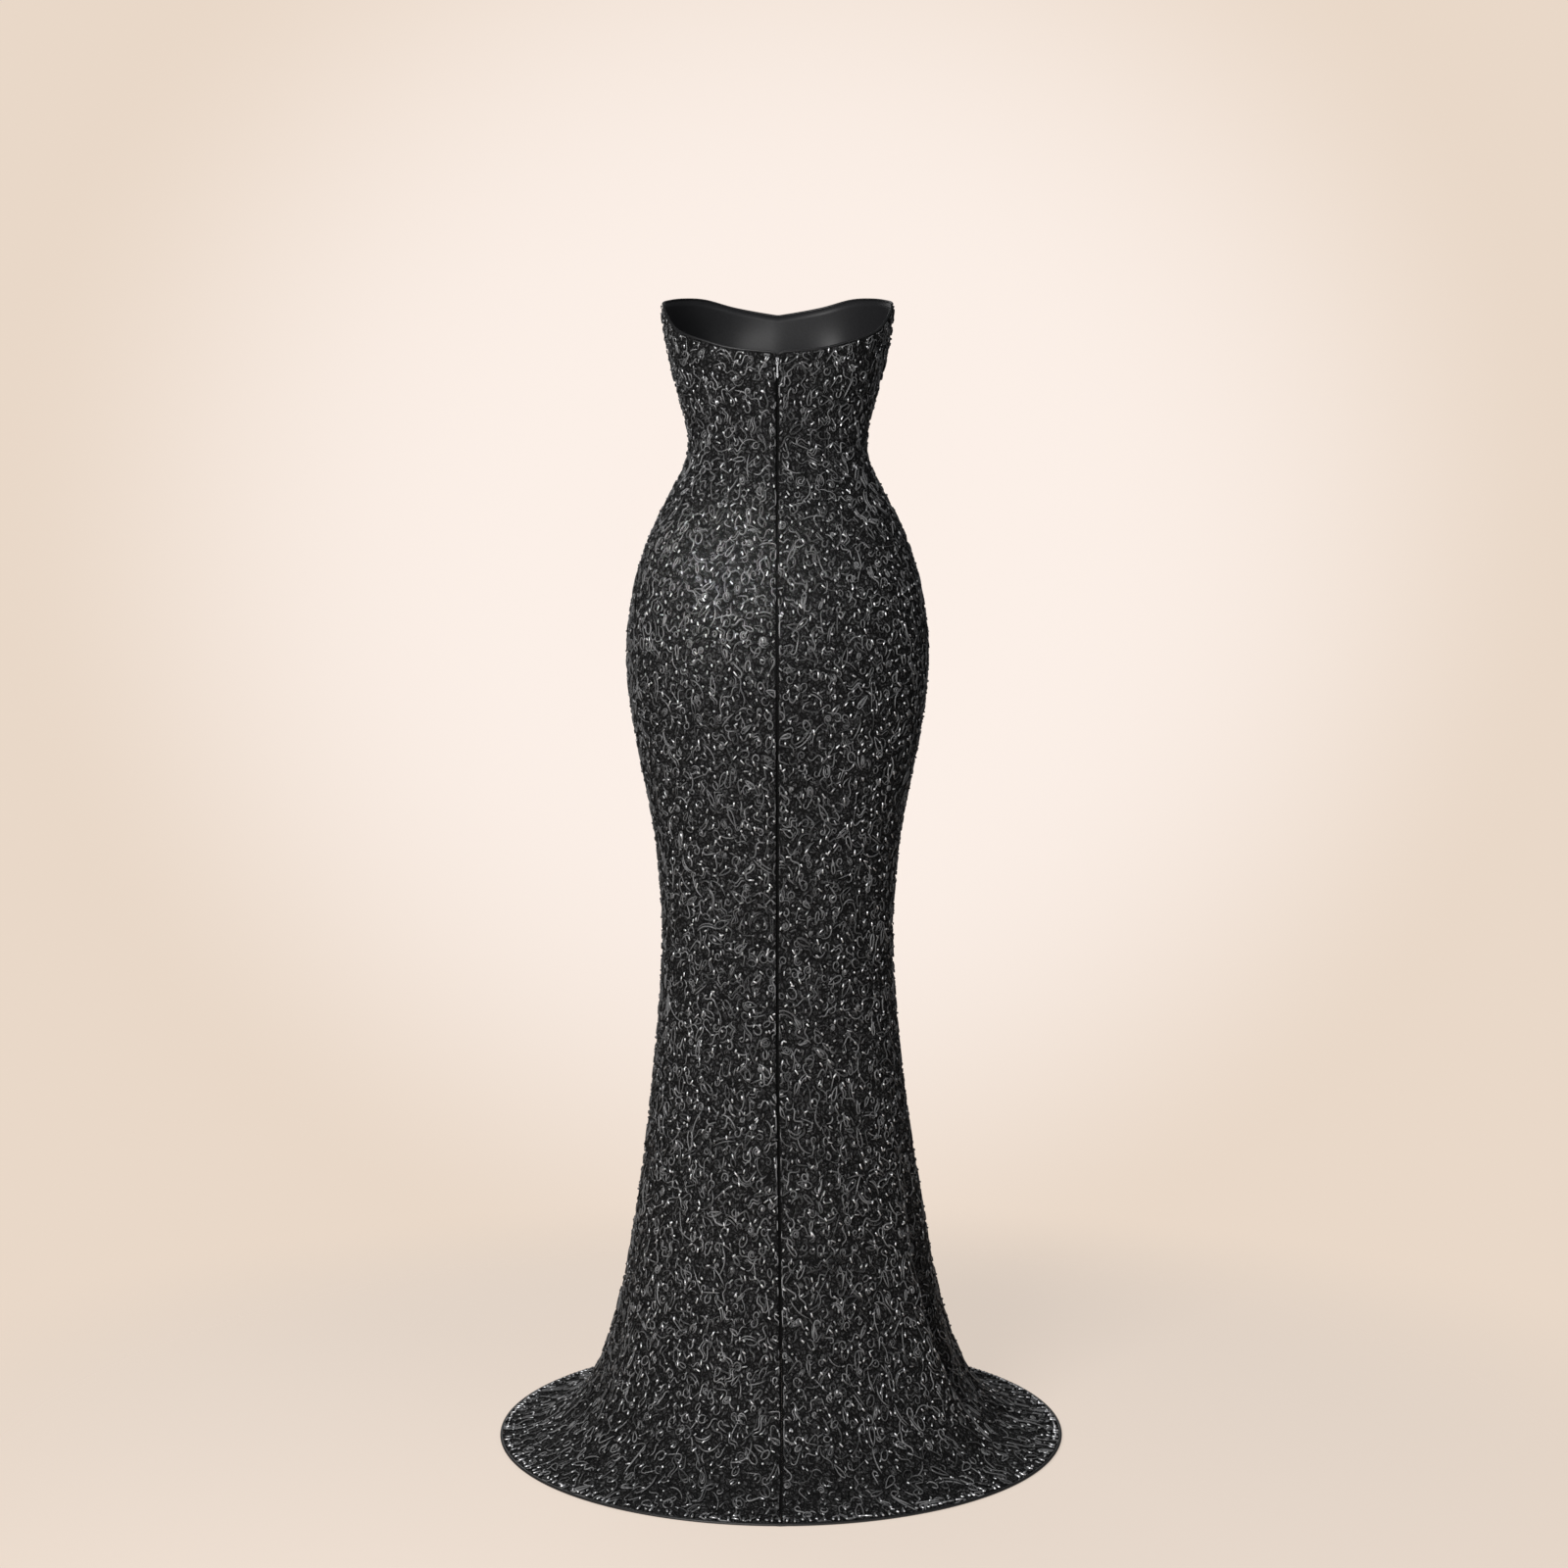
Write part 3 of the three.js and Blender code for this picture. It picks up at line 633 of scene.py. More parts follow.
def leaf_line(t, size, rng):
    """Leaves: a narrow drop drawn round its edge."""
    turn = t * 6.1
    width = size * rng.uniform(0.5, 0.75, size.shape)
    return np.stack([size * 1.5 * np.cos(turn), width * np.sin(turn) * np.sin(turn / 2)], -1)


# Each motif with its share of all, and whether a second cord runs inside it or beside it.
MOTIFS = (
    (scroll_line, 0.24, "inside"),
    (ring_line, 0.12, "inside"),
    (wave_line, 0.2, "beside"),
    (hook_line, 0.18, "inside"),
    (stem_line, 0.14, "beside"),
    (leaf_line, 0.12, "inside"),
)
# A second cord's size as a share of the first one's, inside or beside it, and its distance beside it.
INSIDE_SHARE, BESIDE_SHARE, BESIDE_OFFSET = 0.5, 0.85, 3.1
# How much narrower a scroll is across the gown, and taller down it.
NARROWED = 0.88


def turned(lines, turn):
    """Flat lines turned round their middles."""
    x, y = lines[..., 0], lines[..., 1]
    return np.stack([x * np.cos(turn) - y * np.sin(turn), x * np.sin(turn) + y * np.cos(turn)], -1)


def motif_lines(count, doubled, size_range, rng):
    """Flat lines of all the motifs, each turned at random, as an array of motifs by points by two.
    The first ones, as many as doubled says, come again after all of them as their second cords."""
    t = np.linspace(0, 1, MOTIF_POINTS)[None]
    kinds = rng.choice(len(MOTIFS), count, p=[share for _, share, _ in MOTIFS])
    size = rng.uniform(*size_range, (count, 1))
    lines = np.zeros((count, MOTIF_POINTS, 2))
    second = np.zeros((count, MOTIF_POINTS, 2))
    for kind, (draw, _, place) in enumerate(MOTIFS):
        here = kinds == kind
        lines[here] = draw(t, size[here], rng)
        if place == "inside":
            second[here] = lines[here] * INSIDE_SHARE
        else:
            second[here] = lines[here] * BESIDE_SHARE + (0, BESIDE_OFFSET)
    turn = rng.uniform(0, 2 * np.pi, count)
    turn = np.concatenate([turn, turn[:doubled]])[:, None]
    return turned(np.concatenate([lines, second[:doubled]]), turn)


def lay_lines(lines, middle_angle, middle_down, margins, narrowed=1.0):
    """Flat lines laid on the cloth round their middles and kept off its edges, as angles and
    distances down."""
    round_stretch, down_stretch = cloth_frame(middle_angle, middle_down)[3]
    angle = middle_angle + lines[..., 0] * narrowed / round_stretch
    down = middle_down + lines[..., 1] / narrowed / down_stretch
    return keep_on_cloth(angle, down, middle_angle, margins)


def finish_piece(piece, slot_name, *nodes):
    """Rides a finished piece on the gown and hides what it stands for. The name of its finish is not used."""
    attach(piece, BODY)
    if nodes:
        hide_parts(*nodes)


# How far a cord's sewn edges lie below its line, and how much it narrows at its two ends.
CORD_SUNK, CORD_TAPER = 0.25, 0.6


def cord_piece(name, cords, here, material):
    """Those of the cords that are picked: tubes with three sides, sewn edges and a ridge, that narrow
    at their ends. Cords are their angles, distances down, lift, width, height and tone, one array row
    for each. Their edges are painted black, a painted shade where the cord meets the cloth, and the
    ridge has the tone, which the cord's ramp turns into a painted highlight."""
    angle, down, lift, width, height, tone = (part[here] for part in cords)
    centres = cloth_point(angle, down, CLOTH_OUT + lift[:, None] + 0 * angle)
    out = cloth_frame(angle, down)[2]
    side = unit(np.cross(unit(np.gradient(centres, axis=1)), out))
    count, steps = angle.shape
    ends = 1 - CORD_TAPER * np.abs(np.linspace(-1, 1, steps)[:, None]) ** 5
    half = side * width[:, None, None] * ends / 2
    foot = centres - out * CORD_SUNK
    points = np.stack([foot - half, centres + out * height[:, None, None] * ends, foot + half], 2)
    faces = repeated(tube_faces(steps, 3), count, 3 * steps)
    piece = mesh_object(name, points.reshape(-1, 3), faces, [material])
    # Painted shade and highlight: the tone is nothing at a cord's two sewn edges and full at its ridge.
    painted_edge_and_ridge = tone[:, None, None] * np.array([0.0, 1.0, 0.0]) + np.zeros((1, steps, 1))
    add_point_values(piece, "tone", painted_edge_and_ridge)
    finish_piece(piece, "cord")


def bead_piece(name, slot_name, angle, down, rise, turn, length, width, shoulder, material, tone=None):
    """Beads with five sides, a pole at each end and two rings a share of the half length from the
    middle. Each lies at a distance out from the cloth and at a turn from level."""
    round_it, fall, out, _ = cloth_frame(angle, down)
    along = unit(round_it * np.cos(turn)[:, None] + fall * np.sin(turn)[:, None])
    axes = np.stack([along, np.cross(out, along), out], 1)
    sides = 5
    corner = np.arange(sides) * 2 * np.pi / sides
    local = np.zeros((len(angle), 2 * sides + 2, 3))
    local[:, 0, 0], local[:, -1, 0] = -1, 1
    for ring, end in ((slice(1, sides + 1), -1), (slice(sides + 1, -1), 1)):
        local[:, ring, 0] = end * shoulder[:, None]
        local[:, ring, 1:] = np.stack([np.cos(corner), np.sin(corner)], -1)
    local *= np.stack([length, width, width], -1)[:, None] / 2
    points = cloth_point(angle, down, rise)[:, None] + local @ axes
    first = np.arange(1, sides + 1)
    after = np.roll(first, -1)
    faces = np.concatenate([
        np.stack([0 * first, after, first], -1),
        np.stack([first, after, after + sides], -1),
        np.stack([first, after + sides, first + sides], -1),
        np.stack([first + sides, after + sides, 0 * first + 2 * sides + 1], -1),
    ])
    faces = repeated(faces, len(angle), local.shape[1])
    piece = mesh_object(name, points.reshape(-1, 3), faces, [material])
    if tone is not None:
        add_point_values(piece, "tone", np.repeat(tone, local.shape[1]))
    finish_piece(piece, slot_name)


def set_inputs(tree, node, inputs):
    """Gives a node its inputs: another node's output is linked, and anything else is a value."""
    for key, value in inputs.items():
        if isinstance(value, bpy.types.NodeSocket):
            tree.links.new(value, node.inputs[key])
        else:
            node.inputs[key].default_value = value


def node_adder(tree):
    """A function that adds a node with its inputs, by name or number, and its settings to a tree. It
    gives back one of the node's outputs, the first if no other is asked for."""

    def add(kind, inputs, output=0, **settings):
        node = tree.nodes.new("ShaderNode" + kind)
        for name, value in settings.items():
            setattr(node, name, value)
        set_inputs(tree, node, inputs)
        return node.outputs[output]

    return add


def new_material(name):
    """A material with only its output and its shader, and the function that adds nodes to it."""
    material = bpy.data.materials.new(name)
    material.use_nodes = True
    return material, node_adder(material.node_tree)


def set_shader(material, inputs):
    """Gives a material's own shader its inputs."""
    shader = next(node for node in material.node_tree.nodes if node.type == "BSDF_PRINCIPLED")
    set_inputs(material.node_tree, shader, inputs)
    return shader


def scaled(colour, by):
    """A colour made darker or lighter."""
    return tuple(min(part * by, 1.0) for part in colour)


def colour_ramp(add, value, colour, stops):
    """A ramp through darker and lighter shades of a colour. A stop is a place and how light it is."""
    ramp = add("ValToRGB", {"Fac": value})
    elements = ramp.node.color_ramp.elements
    (start, first), *between, (end, last) = stops
    elements[0].position, elements[0].color = start, (*scaled(colour, first), 1)
    elements[1].position, elements[1].color = end, (*scaled(colour, last), 1)
    for place, by in between:
        elements.new(place).color = (*scaled(colour, by), 1)
    return ramp


def cloth_material(colours):
    """Ground cloth: satin pebbles with black crevices between them, from the distance to the edges of
    bent cells, and narrow ridges on them from the level lines of a smooth noise. The black crevices,
    the dark grooves between the ridges and the darkening towards them are painted shade, set by the
    height. Plain and black where the plain value says so, beside the zip and the seam."""
    material, add = new_material("ground_cloth")
    place = add("TexCoord", {}, "Object")
    sway = add("TexNoise", {"Vector": place, "Scale": 150.0, "Detail": 1.0}, "Color")
    bent = add("VectorMath", {0: sway, 1: (0.009, 0.009, 0.009), 2: place}, operation="MULTIPLY_ADD")
    edge = add("TexVoronoi", {"Vector": bent, "Scale": 175.0}, "Distance", feature="DISTANCE_TO_EDGE")
    dome = add("MapRange", {"Value": edge, "From Min": 0.02, "From Max": 0.24},
               interpolation_type="SMOOTHSTEP")
    field = add("TexNoise", {
        "Vector": place, "Scale": 105.0, "Detail": 1.0, "Roughness": 0.35, "Distortion": 0.35})
    level = add("Math", {0: field, 1: 6.5}, operation="MULTIPLY")
    fold = add("Math", {0: level, 1: 0.5}, operation="PINGPONG")
    ridge = add("MapRange", {"Value": fold, "From Min": 0.2, "From Max": 0.45, "To Min": 0.22},
                interpolation_type="SMOOTHERSTEP")
    # The height of the pebbles and ridges also sets the colour below, as painted shade: darker towards the
    # crevices and grooves.
    both = add("Math", {0: dome, 1: ridge}, operation="MULTIPLY")
    plain = add("Attribute", {}, "Fac", attribute_name="plain")
    raised = add("Math", {0: plain, 1: -1.6, 2: both}, operation="MULTIPLY_ADD", use_clamp=True)
    shade = add("TexNoise", {"Vector": place, "Scale": 170.0, "Detail": 1.0})
    satin = colour_ramp(add, shade, colours.cloth, ((0.36, 4.0), (0.62, 6.9)))
    # Painted shade: this near black fills the crevices between the pebbles and the grooves between the
    # ridges; beside the zip and the seam the bare cloth takes it too.
    gap_shade_and_bare = (*scaled(colours.cloth, 0.12), 1)
    weave = add("TexNoise", {"Vector": place, "Scale": 1400.0, "Detail": 2.0})
    fine = add("Bump", {"Strength": 0.15, "Distance": 0.0003, "Height": weave})
    # The base colour mixes the painted shade into the satin by the height.
    set_shader(material, {
        "Base Color": add("Mix", {"Factor": raised, 6: gap_shade_and_bare, 7: satin}, 2, data_type="RGBA"),
        "Normal": add("Bump", {"Strength": 1.0, "Distance": 0.002, "Height": raised, "Normal": fine}),
        "Roughness": add("MapRange", {"Value": raised, "To Min": 0.9, "To Max": 0.4}),
        "Specular IOR Level": 0.14,
    })
    return material


def thread_material(name, colour, roughness, twist, gloss=0.5, stops=None):
    """Cord or thread: satin with a fine twist. Where it has stops, its shade goes by the tone value; on
    the cords that gives a painted shade at their sewn edges and a painted highlight along their ridges.
    """
    material, add = new_material(name)
    base = (*colour, 1)
    if stops:
        base = colour_ramp(add, add("Attribute", {}, "Fac", attribute_name="tone"), colour, stops)
    grain = add("TexNoise", {"Vector": add("TexCoord", {}, "Object"), "Scale": twist, "Detail": 1.0})
    rough = {"Value": grain, "To Min": roughness - 0.08, "To Max": roughness + 0.1}
    set_shader(material, {
        "Base Color": base,
        "Normal": add("Bump", {"Strength": 0.4, "Distance": 0.0003, "Height": grain}),
        "Roughness": add("MapRange", rough),
        "Specular IOR Level": gloss,
    })
    return material


def bead_material(colours):
    """Beads: polished, from jet to steel grey by the tone value, which near the side seams is lowered
    as painted shade.
    """
    material, add = new_material("polished_bead")
    tone = add("Attribute", {}, "Fac", attribute_name="tone")
    stops = ((0.0, 0.06), (0.3, 0.4), (0.6, 1.2), (1.0, 2.0))
    set_shader(material, {
        "Base Color": colour_ramp(add, tone, colours.bead, stops), "Metallic": 1.0, "Roughness": 0.38})
    return material


def lining_material(colours):
    """Plain inside of the cloth: black satin with a soft sheen and a fine warp."""
    material, add = new_material("satin_inside")
    warp = add("TexNoise", {"Vector": add("TexCoord", {}, "Object"), "Scale": 600.0, "Detail": 2.0})
    set_shader(material, {
        "Base Color": colour_ramp(add, warp, colours.lining, ((0.3, 0.8), (0.7, 1.2))),
        "Normal": add("Bump", {"Strength": 0.25, "Distance": 0.0002, "Height": warp}),
        "Roughness": 0.5,
        "Specular IOR Level": 0.25,
    })
    return material


def metal_material(colours):
    """Zip metal: bright nickel with fine scratches."""
    material, add = new_material("zip_nickel")
    place = add("TexCoord", {}, "Object")
    scratch = add("TexNoise", {"Vector": place, "Scale": 2500.0, "Detail": 3.0})
    set_shader(material, {
        "Base Color": (*colours.metal, 1),
        "Metallic": 1.0,
        "Roughness": add("MapRange", {"Value": scratch, "To Min": 0.14, "To Max": 0.34}),
    })
    return material


def number(name, description, default):
    """A setting that is a number, whole if its default is."""
    kind = bpy.props.IntProperty if isinstance(default, int) else bpy.props.FloatProperty
    return kind(name=name, description=description, default=default)


def colour(name, description, default):
    """A setting that is a colour."""
    return bpy.props.FloatVectorProperty(
        name=name, description=description, subtype="COLOR", size=3, default=default)


class GownSizes(bpy.types.PropertyGroup):
    """Sizes of the cloth's cords and beads, and how many there are."""

    cord_count: number("Cords", "Scrollwork cords on the whole gown", 6750)
    second_cords: number("Second cords", "Cords that run inside or beside another one", 1450)
    stroke_count: number("Strokes", "Short curved cords between the scrolls", 3650)
    cord_width: number("Cord width", "Width of a cord, in millimetres", 2.1)
    cord_height: number("Cord height", "Height of a cord above the ground cloth, in millimetres", 1.6)
    bead_count: number("Beads", "Beads on the whole gown", 9300)
    bead_length: number("Bead length", "Usual length of a bead, in millimetres", 4.4)
    hem_bead_step: number("Hem bead step", "Distance between the hem's beads, in millimetres", 7.5)
    zip_tooth_step: number("Zip tooth step", "Distance between zip teeth, in millimetres", 1.6)


class GownColours(bpy.types.PropertyGroup):
    """Colours of the gown and the backdrop."""

    cloth: colour("Ground cloth", "Ground cloth between the cords", (0.011, 0.011, 0.0112))
    # The cord colour is scaled by the cords' tone: near black at their sewn edges as painted shade, and up to
    # 3.3 times at their ridges as painted highlight.
    cord: colour("Cord", "Satin cord", (0.075, 0.075, 0.076))
    bead: colour("Bead", "Polished bead", (0.48, 0.48, 0.49))
    lining: colour("Inside", "Satin inside", (0.012, 0.012, 0.013))
    neck_edge: colour("Neckline edge", "Satin binding of the neckline", (0.0049, 0.0049, 0.0054))
    hem_edge: colour("Hem edge", "Satin binding of the hem", (0.0022, 0.0022, 0.0024))
    tape: colour("Zip tape", "Woven tape of the zip", (0.0043, 0.0043, 0.0046))
    teeth: colour("Zip teeth", "Moulded coil of the zip", (0.0062, 0.0062, 0.0065))
    metal: colour("Zip metal", "Nickel plate", (0.66, 0.66, 0.67))
    backdrop: colour("Backdrop", "Studio backdrop", (0.815, 0.687, 0.578))
    glow: colour("Glow", "Backdrop behind the gown", (0.973, 0.871, 0.807))
    floor: colour("Floor", "Studio floor", (0.80, 0.69, 0.60))


PANELS = ("front", "back_left", "back_right")


class GOWN_OT_panels(bpy.types.Operator):
    """Front and back panels: thin closed shells of cloth with a satin inside"""

    bl_idname = "gown.panels"
    bl_label = "Panels"

    def execute(self, context):
        colours = context.scene.gown_colours
        materials = [cloth_material(colours), lining_material(colours)]
        for name in PANELS:
            angles, down = panel_grid(name)
            piece = wall_piece("cloth_" + name, angles, down, CLOTH_OUT, CLOTH_IN, materials)
            if name != "front":
                across = np.abs(plain_point(angles, down)[..., 0] - shift_at(down))
                strip = smooth_step((PLAIN_STRIP - across) / PLAIN_FADE)
                add_point_values(piece, "plain", np.stack([strip, 0 * strip]))
            finish_piece(piece, "cloth", name + "_panel")
        return {"FINISHED"}


# Sizes of the scrolls and of the strokes between them, before they are drawn out.
SCROLL_SIZES, STROKE_SIZES = (3.6, 6.6), (1.3, 2.8)
STROKE_POINTS = 5
# The cords of a back dart: their distances across, their top and foot, and the points along each.
DART_ACROSS, DART_TOP_Z, DART_FOOT_Z, DART_POINTS = (53.0, 56.6), 8, -76, 40

# The shades of a cord by its tone value, as shares of the cord's colour: near black at its sewn edges,
# a painted shade, and over three times its colour at the ridge, a painted highlight.
CORD_SHADE_AND_HIGHLIGHT_STOPS = ((0.0, 0.02), (0.35, 0.165), (0.6, 1.584), (1.0, 3.3))


class GOWN_OT_cords(bpy.types.Operator):
    """Scrollwork: short satin cords laid over the whole cloth in mixed curls, and straight at the darts"""

    bl_idname = "gown.cords"
    bl_label = "Scrollwork cords"

    def execute(self, context):
        sizes, colours = context.scene.gown_sizes, context.scene.gown_colours
        material = thread_material("satin_cord", colours.cord, 0.28, 900.0, 0.4, CORD_SHADE_AND_HIGHLIGHT_STOPS)
        self.scrolls(sizes, material)
        self.strokes(sizes.stroke_count, material)
        self.dart_cords(material)
        return {"FINISHED"}

    def scrolls(self, sizes, material):
        """Cords in curls at even places, and a second cord for some of them."""
        rng = np.random.default_rng(11)
        count, doubled = sizes.cord_count, sizes.second_cords
        places = even_places(count, 12)
        middle_angle, middle_down = (np.concatenate([part, part[:doubled]])[:, None] for part in places)
        lines = motif_lines(count, doubled, SCROLL_SIZES, rng) * grown_at(middle_down)[..., None]
        angle, down = lay_lines(lines, middle_angle, middle_down, CORD_MARGINS, NARROWED)
        total = len(angle)
        lift = rng.uniform(-0.15, 0.3, total)
        width = sizes.cord_width * rng.uniform(0.75, 1.2, total)
        height = sizes.cord_height * rng.uniform(0.7, 1.6, total)
        # Each cord's tone is random, and lowered near the side seams as painted shade.
        tone = rng.uniform(0.5, 1, total) * (1 - CORD_SIDE_SHADE * side_shade_share(middle_angle, middle_down)[:, 0])
        cords = angle, down, lift, width, height, tone
        panel = panel_of(middle_angle[:, 0])
        odd = np.arange(total) % 2 == 1
        cord_piece("cords_back_left", cords, panel == 1, material)
        cord_piece("cords_back_right", cords, panel == 2, material)
        cord_piece("cords_front_first", cords, (panel == 0) & odd, material)
        cord_piece("cords_front_second", cords, (panel == 0) & ~odd, material)

    def strokes(self, count, material):
        """Short cords with a slight bow, most of them near upright, at even places between the scrolls."""
        rng = np.random.default_rng(41)
        middle_angle, middle_down = (place[:, None] for place in even_places(count, 42))
        t = np.linspace(0, 1, STROKE_POINTS)[None]
        lines = stem_line(t, rng.uniform(*STROKE_SIZES, (count, 1)), rng)
        lines = turned(lines, rng.normal(np.pi / 2, 0.7, (count, 1)))
        angle, down = lay_lines(lines, middle_angle, middle_down, STROKE_MARGINS)
        width, height = rng.uniform(2.0, 2.8, count), rng.uniform(1.1, 1.6, count)
        lift, tone = rng.uniform(-0.1, 0.2, count), rng.uniform(0.25, 1, count)
        panel = panel_of(middle_angle[:, 0])
        for i, name in enumerate(PANELS):
            cord_piece("strokes_" + name, (angle, down, lift, width, height, tone), panel == i, material)

    def dart_cords(self, material):
        """Two straight cords down each back dart, at the waist."""
        down = np.linspace(down_at(DART_TOP_Z), down_at(DART_FOOT_Z), DART_POINTS)
        turns = [side * turn_at(across, down) for side in (-1, 1) for across in DART_ACROSS]
        angle = CENTRE_BACK + np.stack(turns)
        one = np.ones(len(angle))
        cords = angle, np.broadcast_to(down, angle.shape), 0.4 * one, 1.4 * one, 1.1 * one, 0.4 * one
        cord_piece("cords_darts", cords, slice(None), material)


# How far a bead's underside lies above the ground cloth, on the panels and inside the hem.
BEAD_LIFT, HEM_BEAD_LIFT = 0.6, 0.7
# Inside the hem: distances of the beads from the edge, as their middle, spread, least and most.
HEM_ROW = (7.7, 0.6, 7.0, 9.3)

# Kinds of bead: ovals, bugles and small rounds. Columns: share of all, length and width as shares of a
# bead's usual length, and how far from its middle a bead starts to close.
BEAD_KINDS = np.array([
    (0.5, 1.0, 0.42, 0.7),
    (0.32, 1.3, 0.36, 0.82),
    (0.18, 0.6, 0.6, 0.5),
])

# Kinds of bead inside the hem: bugles square to the edge, bugles along it and ovals. Columns: share of
# all, turn from square in degrees, length, width, and how far from its middle a bead starts to close.
HEM_BEAD_KINDS = np.array([
    (0.58, 0, 7.0, 2.2, 0.82),
    (0.24, 90, 7.4, 2.0, 0.82),
    (0.18, 45, 4.4, 2.6, 0.5),
])


class GOWN_OT_beads(bpy.types.Operator):
    """Beads: ovals, bugles and small rounds sewn on between the cords"""

    bl_idname = "gown.beads"
    bl_label = "Beads"

    def execute(self, context):
        sizes = context.scene.gown_sizes
        material = bead_material(context.scene.gown_colours)
        rng = np.random.default_rng(21)
        count = sizes.bead_count
        angle, down = even_places(count, 22)
        angle, down = keep_on_cloth(angle, down, angle, BEAD_MARGINS)
        share, long, wide, shoulder = BEAD_KINDS.T
        kind = rng.choice(len(share), count, p=share)
        length = sizes.bead_length * long[kind] * rng.uniform(0.8, 1.2, count)
        width = sizes.bead_length * wide[kind] * rng.uniform(0.9, 1.1, count)
        turn = rng.normal(np.pi / 2, 0.6, count)
        # Each bead's tone is random, and lowered near the side seams as painted shade.
        tone = rng.uniform(0, 1, count) * (1 - BEAD_SIDE_SHADE * side_shade_share(angle, down))
        rise = CLOTH_OUT + BEAD_LIFT + width / 2
        beads = angle, down, rise, turn, length, width, shoulder[kind]
        panel = panel_of(angle)
        for i, name in enumerate(PANELS):
            here = panel == i
            bead_piece("beads_" + name, "bead", *(part[here] for part in beads), material, tone[here])
        return {"FINISHED"}


# The bindings: how many steps long each is, how far the neckline's ends stay from the centre back in
# degrees, how far both stand out, and half of their widths and heights. The section has ten sides.
NECK_STEPS, HEM_STEPS = 260, 300
NECK_END_GAP = 0.35
BINDING_PROUD = 0.3
NECK_HALF_WIDTH, NECK_HALF_HEIGHT, HEM_HALF_HEIGHT = 1.15, 1.35, 1.4
BINDING_SIDES = 10


class GOWN_OT_bindings(bpy.types.Operator):
    """Bindings of the neckline and the hem, with the row of beads inside the hem"""

    bl_idname = "gown.bindings"
    bl_label = "Bindings and hem beads"

    def execute(self, context):
        sizes, colours = context.scene.gown_sizes, context.scene.gown_colours
        angle = np.linspace(CENTRE_BACK + NECK_END_GAP, CENTRE_BACK + 360 - NECK_END_GAP, NECK_STEPS)
        down = neck_down(angle) + NECK_BINDING_HEIGHT / 2 + EDGE_OVERLAP
        rise = (CLOTH_IN + CLOTH_OUT) / 2 + BINDING_PROUD
        half_sizes = NECK_HALF_WIDTH + EDGE_OVERLAP, NECK_HALF_HEIGHT
        self.binding("neck", angle, down, rise, half_sizes, colours.neck_edge)
        angle = np.arange(HEM_STEPS) * 360 / HEM_STEPS
        down = TOTAL_DOWN - HEM_BINDING_WIDTH / 2 - EDGE_OVERLAP + 0 * angle
        rise = (CLOTH_IN + BINDING_PROUD) / 2
        half_sizes = HEM_BINDING_WIDTH / 2 + EDGE_OVERLAP, HEM_HALF_HEIGHT
        self.binding("hem", angle, down, rise, half_sizes, colours.hem_edge, closed=True)
        self.hem_beads(sizes.hem_bead_step, bead_material(colours))
        return {"FINISHED"}

    def binding(self, name, angle, down, rise, half_sizes, colour, closed=False):
        """A binding with a flattened round section, along a line on the cloth."""
        path = cloth_point(angle, down, np.full(angle.shape, rise))
        out = cloth_frame(angle, down)[2]
        beyond = path[[-1, *range(len(path)), 0]] if closed else path
        along = np.gradient(beyond, axis=0)
        across = unit(np.cross(along[1:-1] if closed else along, out))
        turn = -np.arange(BINDING_SIDES) * 2 * np.pi / BINDING_SIDES
        profile = np.stack([np.cos(turn), np.sin(turn)], -1) * half_sizes
        satin = thread_material(name + "_satin", colour, 0.5, 700.0)
        piece = swept_piece("edge_" + name, path, across, out, profile, satin, closed)
        finish_piece(piece, "binding", name + "_binding")

    def hem_beads(self, step, material):
        """One uneven row inside the hem: bugles square to the edge, some along it, and a few ovals."""
        rng = np.random.default_rng(31)
        count = int(2 * np.pi * SECTIONS[-1, 1] / step)
        places = np.flatnonzero(rng.uniform(0, 1, count) > 0.2)
        total = len(places)
        angle = (places + rng.uniform(-0.2, 0.2, total)) * 360 / count
        middle, spread_out, least, most = HEM_ROW
        down = TOTAL_DOWN - np.clip(rng.normal(middle, spread_out, total), least, most)
        share, square, long, width, shoulder = HEM_BEAD_KINDS.T
        kind = rng.choice(len(share), total, p=share)
        turn = np.radians(90 - square[kind] - rng.normal(0, 8, total))
        length = long[kind] * rng.uniform(0.85, 1.1, total)
        rise = CLOTH_OUT + HEM_BEAD_LIFT + width[kind] / 2
        tone = rng.uniform(0.4, 1, total)
        bead_piece(
            "beads_hem", "bead", angle, down, rise, turn, length, width[kind], shoulder[kind], material, tone)


# The zip's teeth: distance of the first below the neckline, of each from the centre back and behind the
# tape, and a tooth's length, width and how far from its middle it starts to close.
TEETH_START, TEETH_ACROSS, TEETH_BEHIND = 6, 1.3, 0.55
TOOTH_LENGTH, TOOTH_WIDTH, TOOTH_SHOULDER = 2.3, 1.0, 0.8


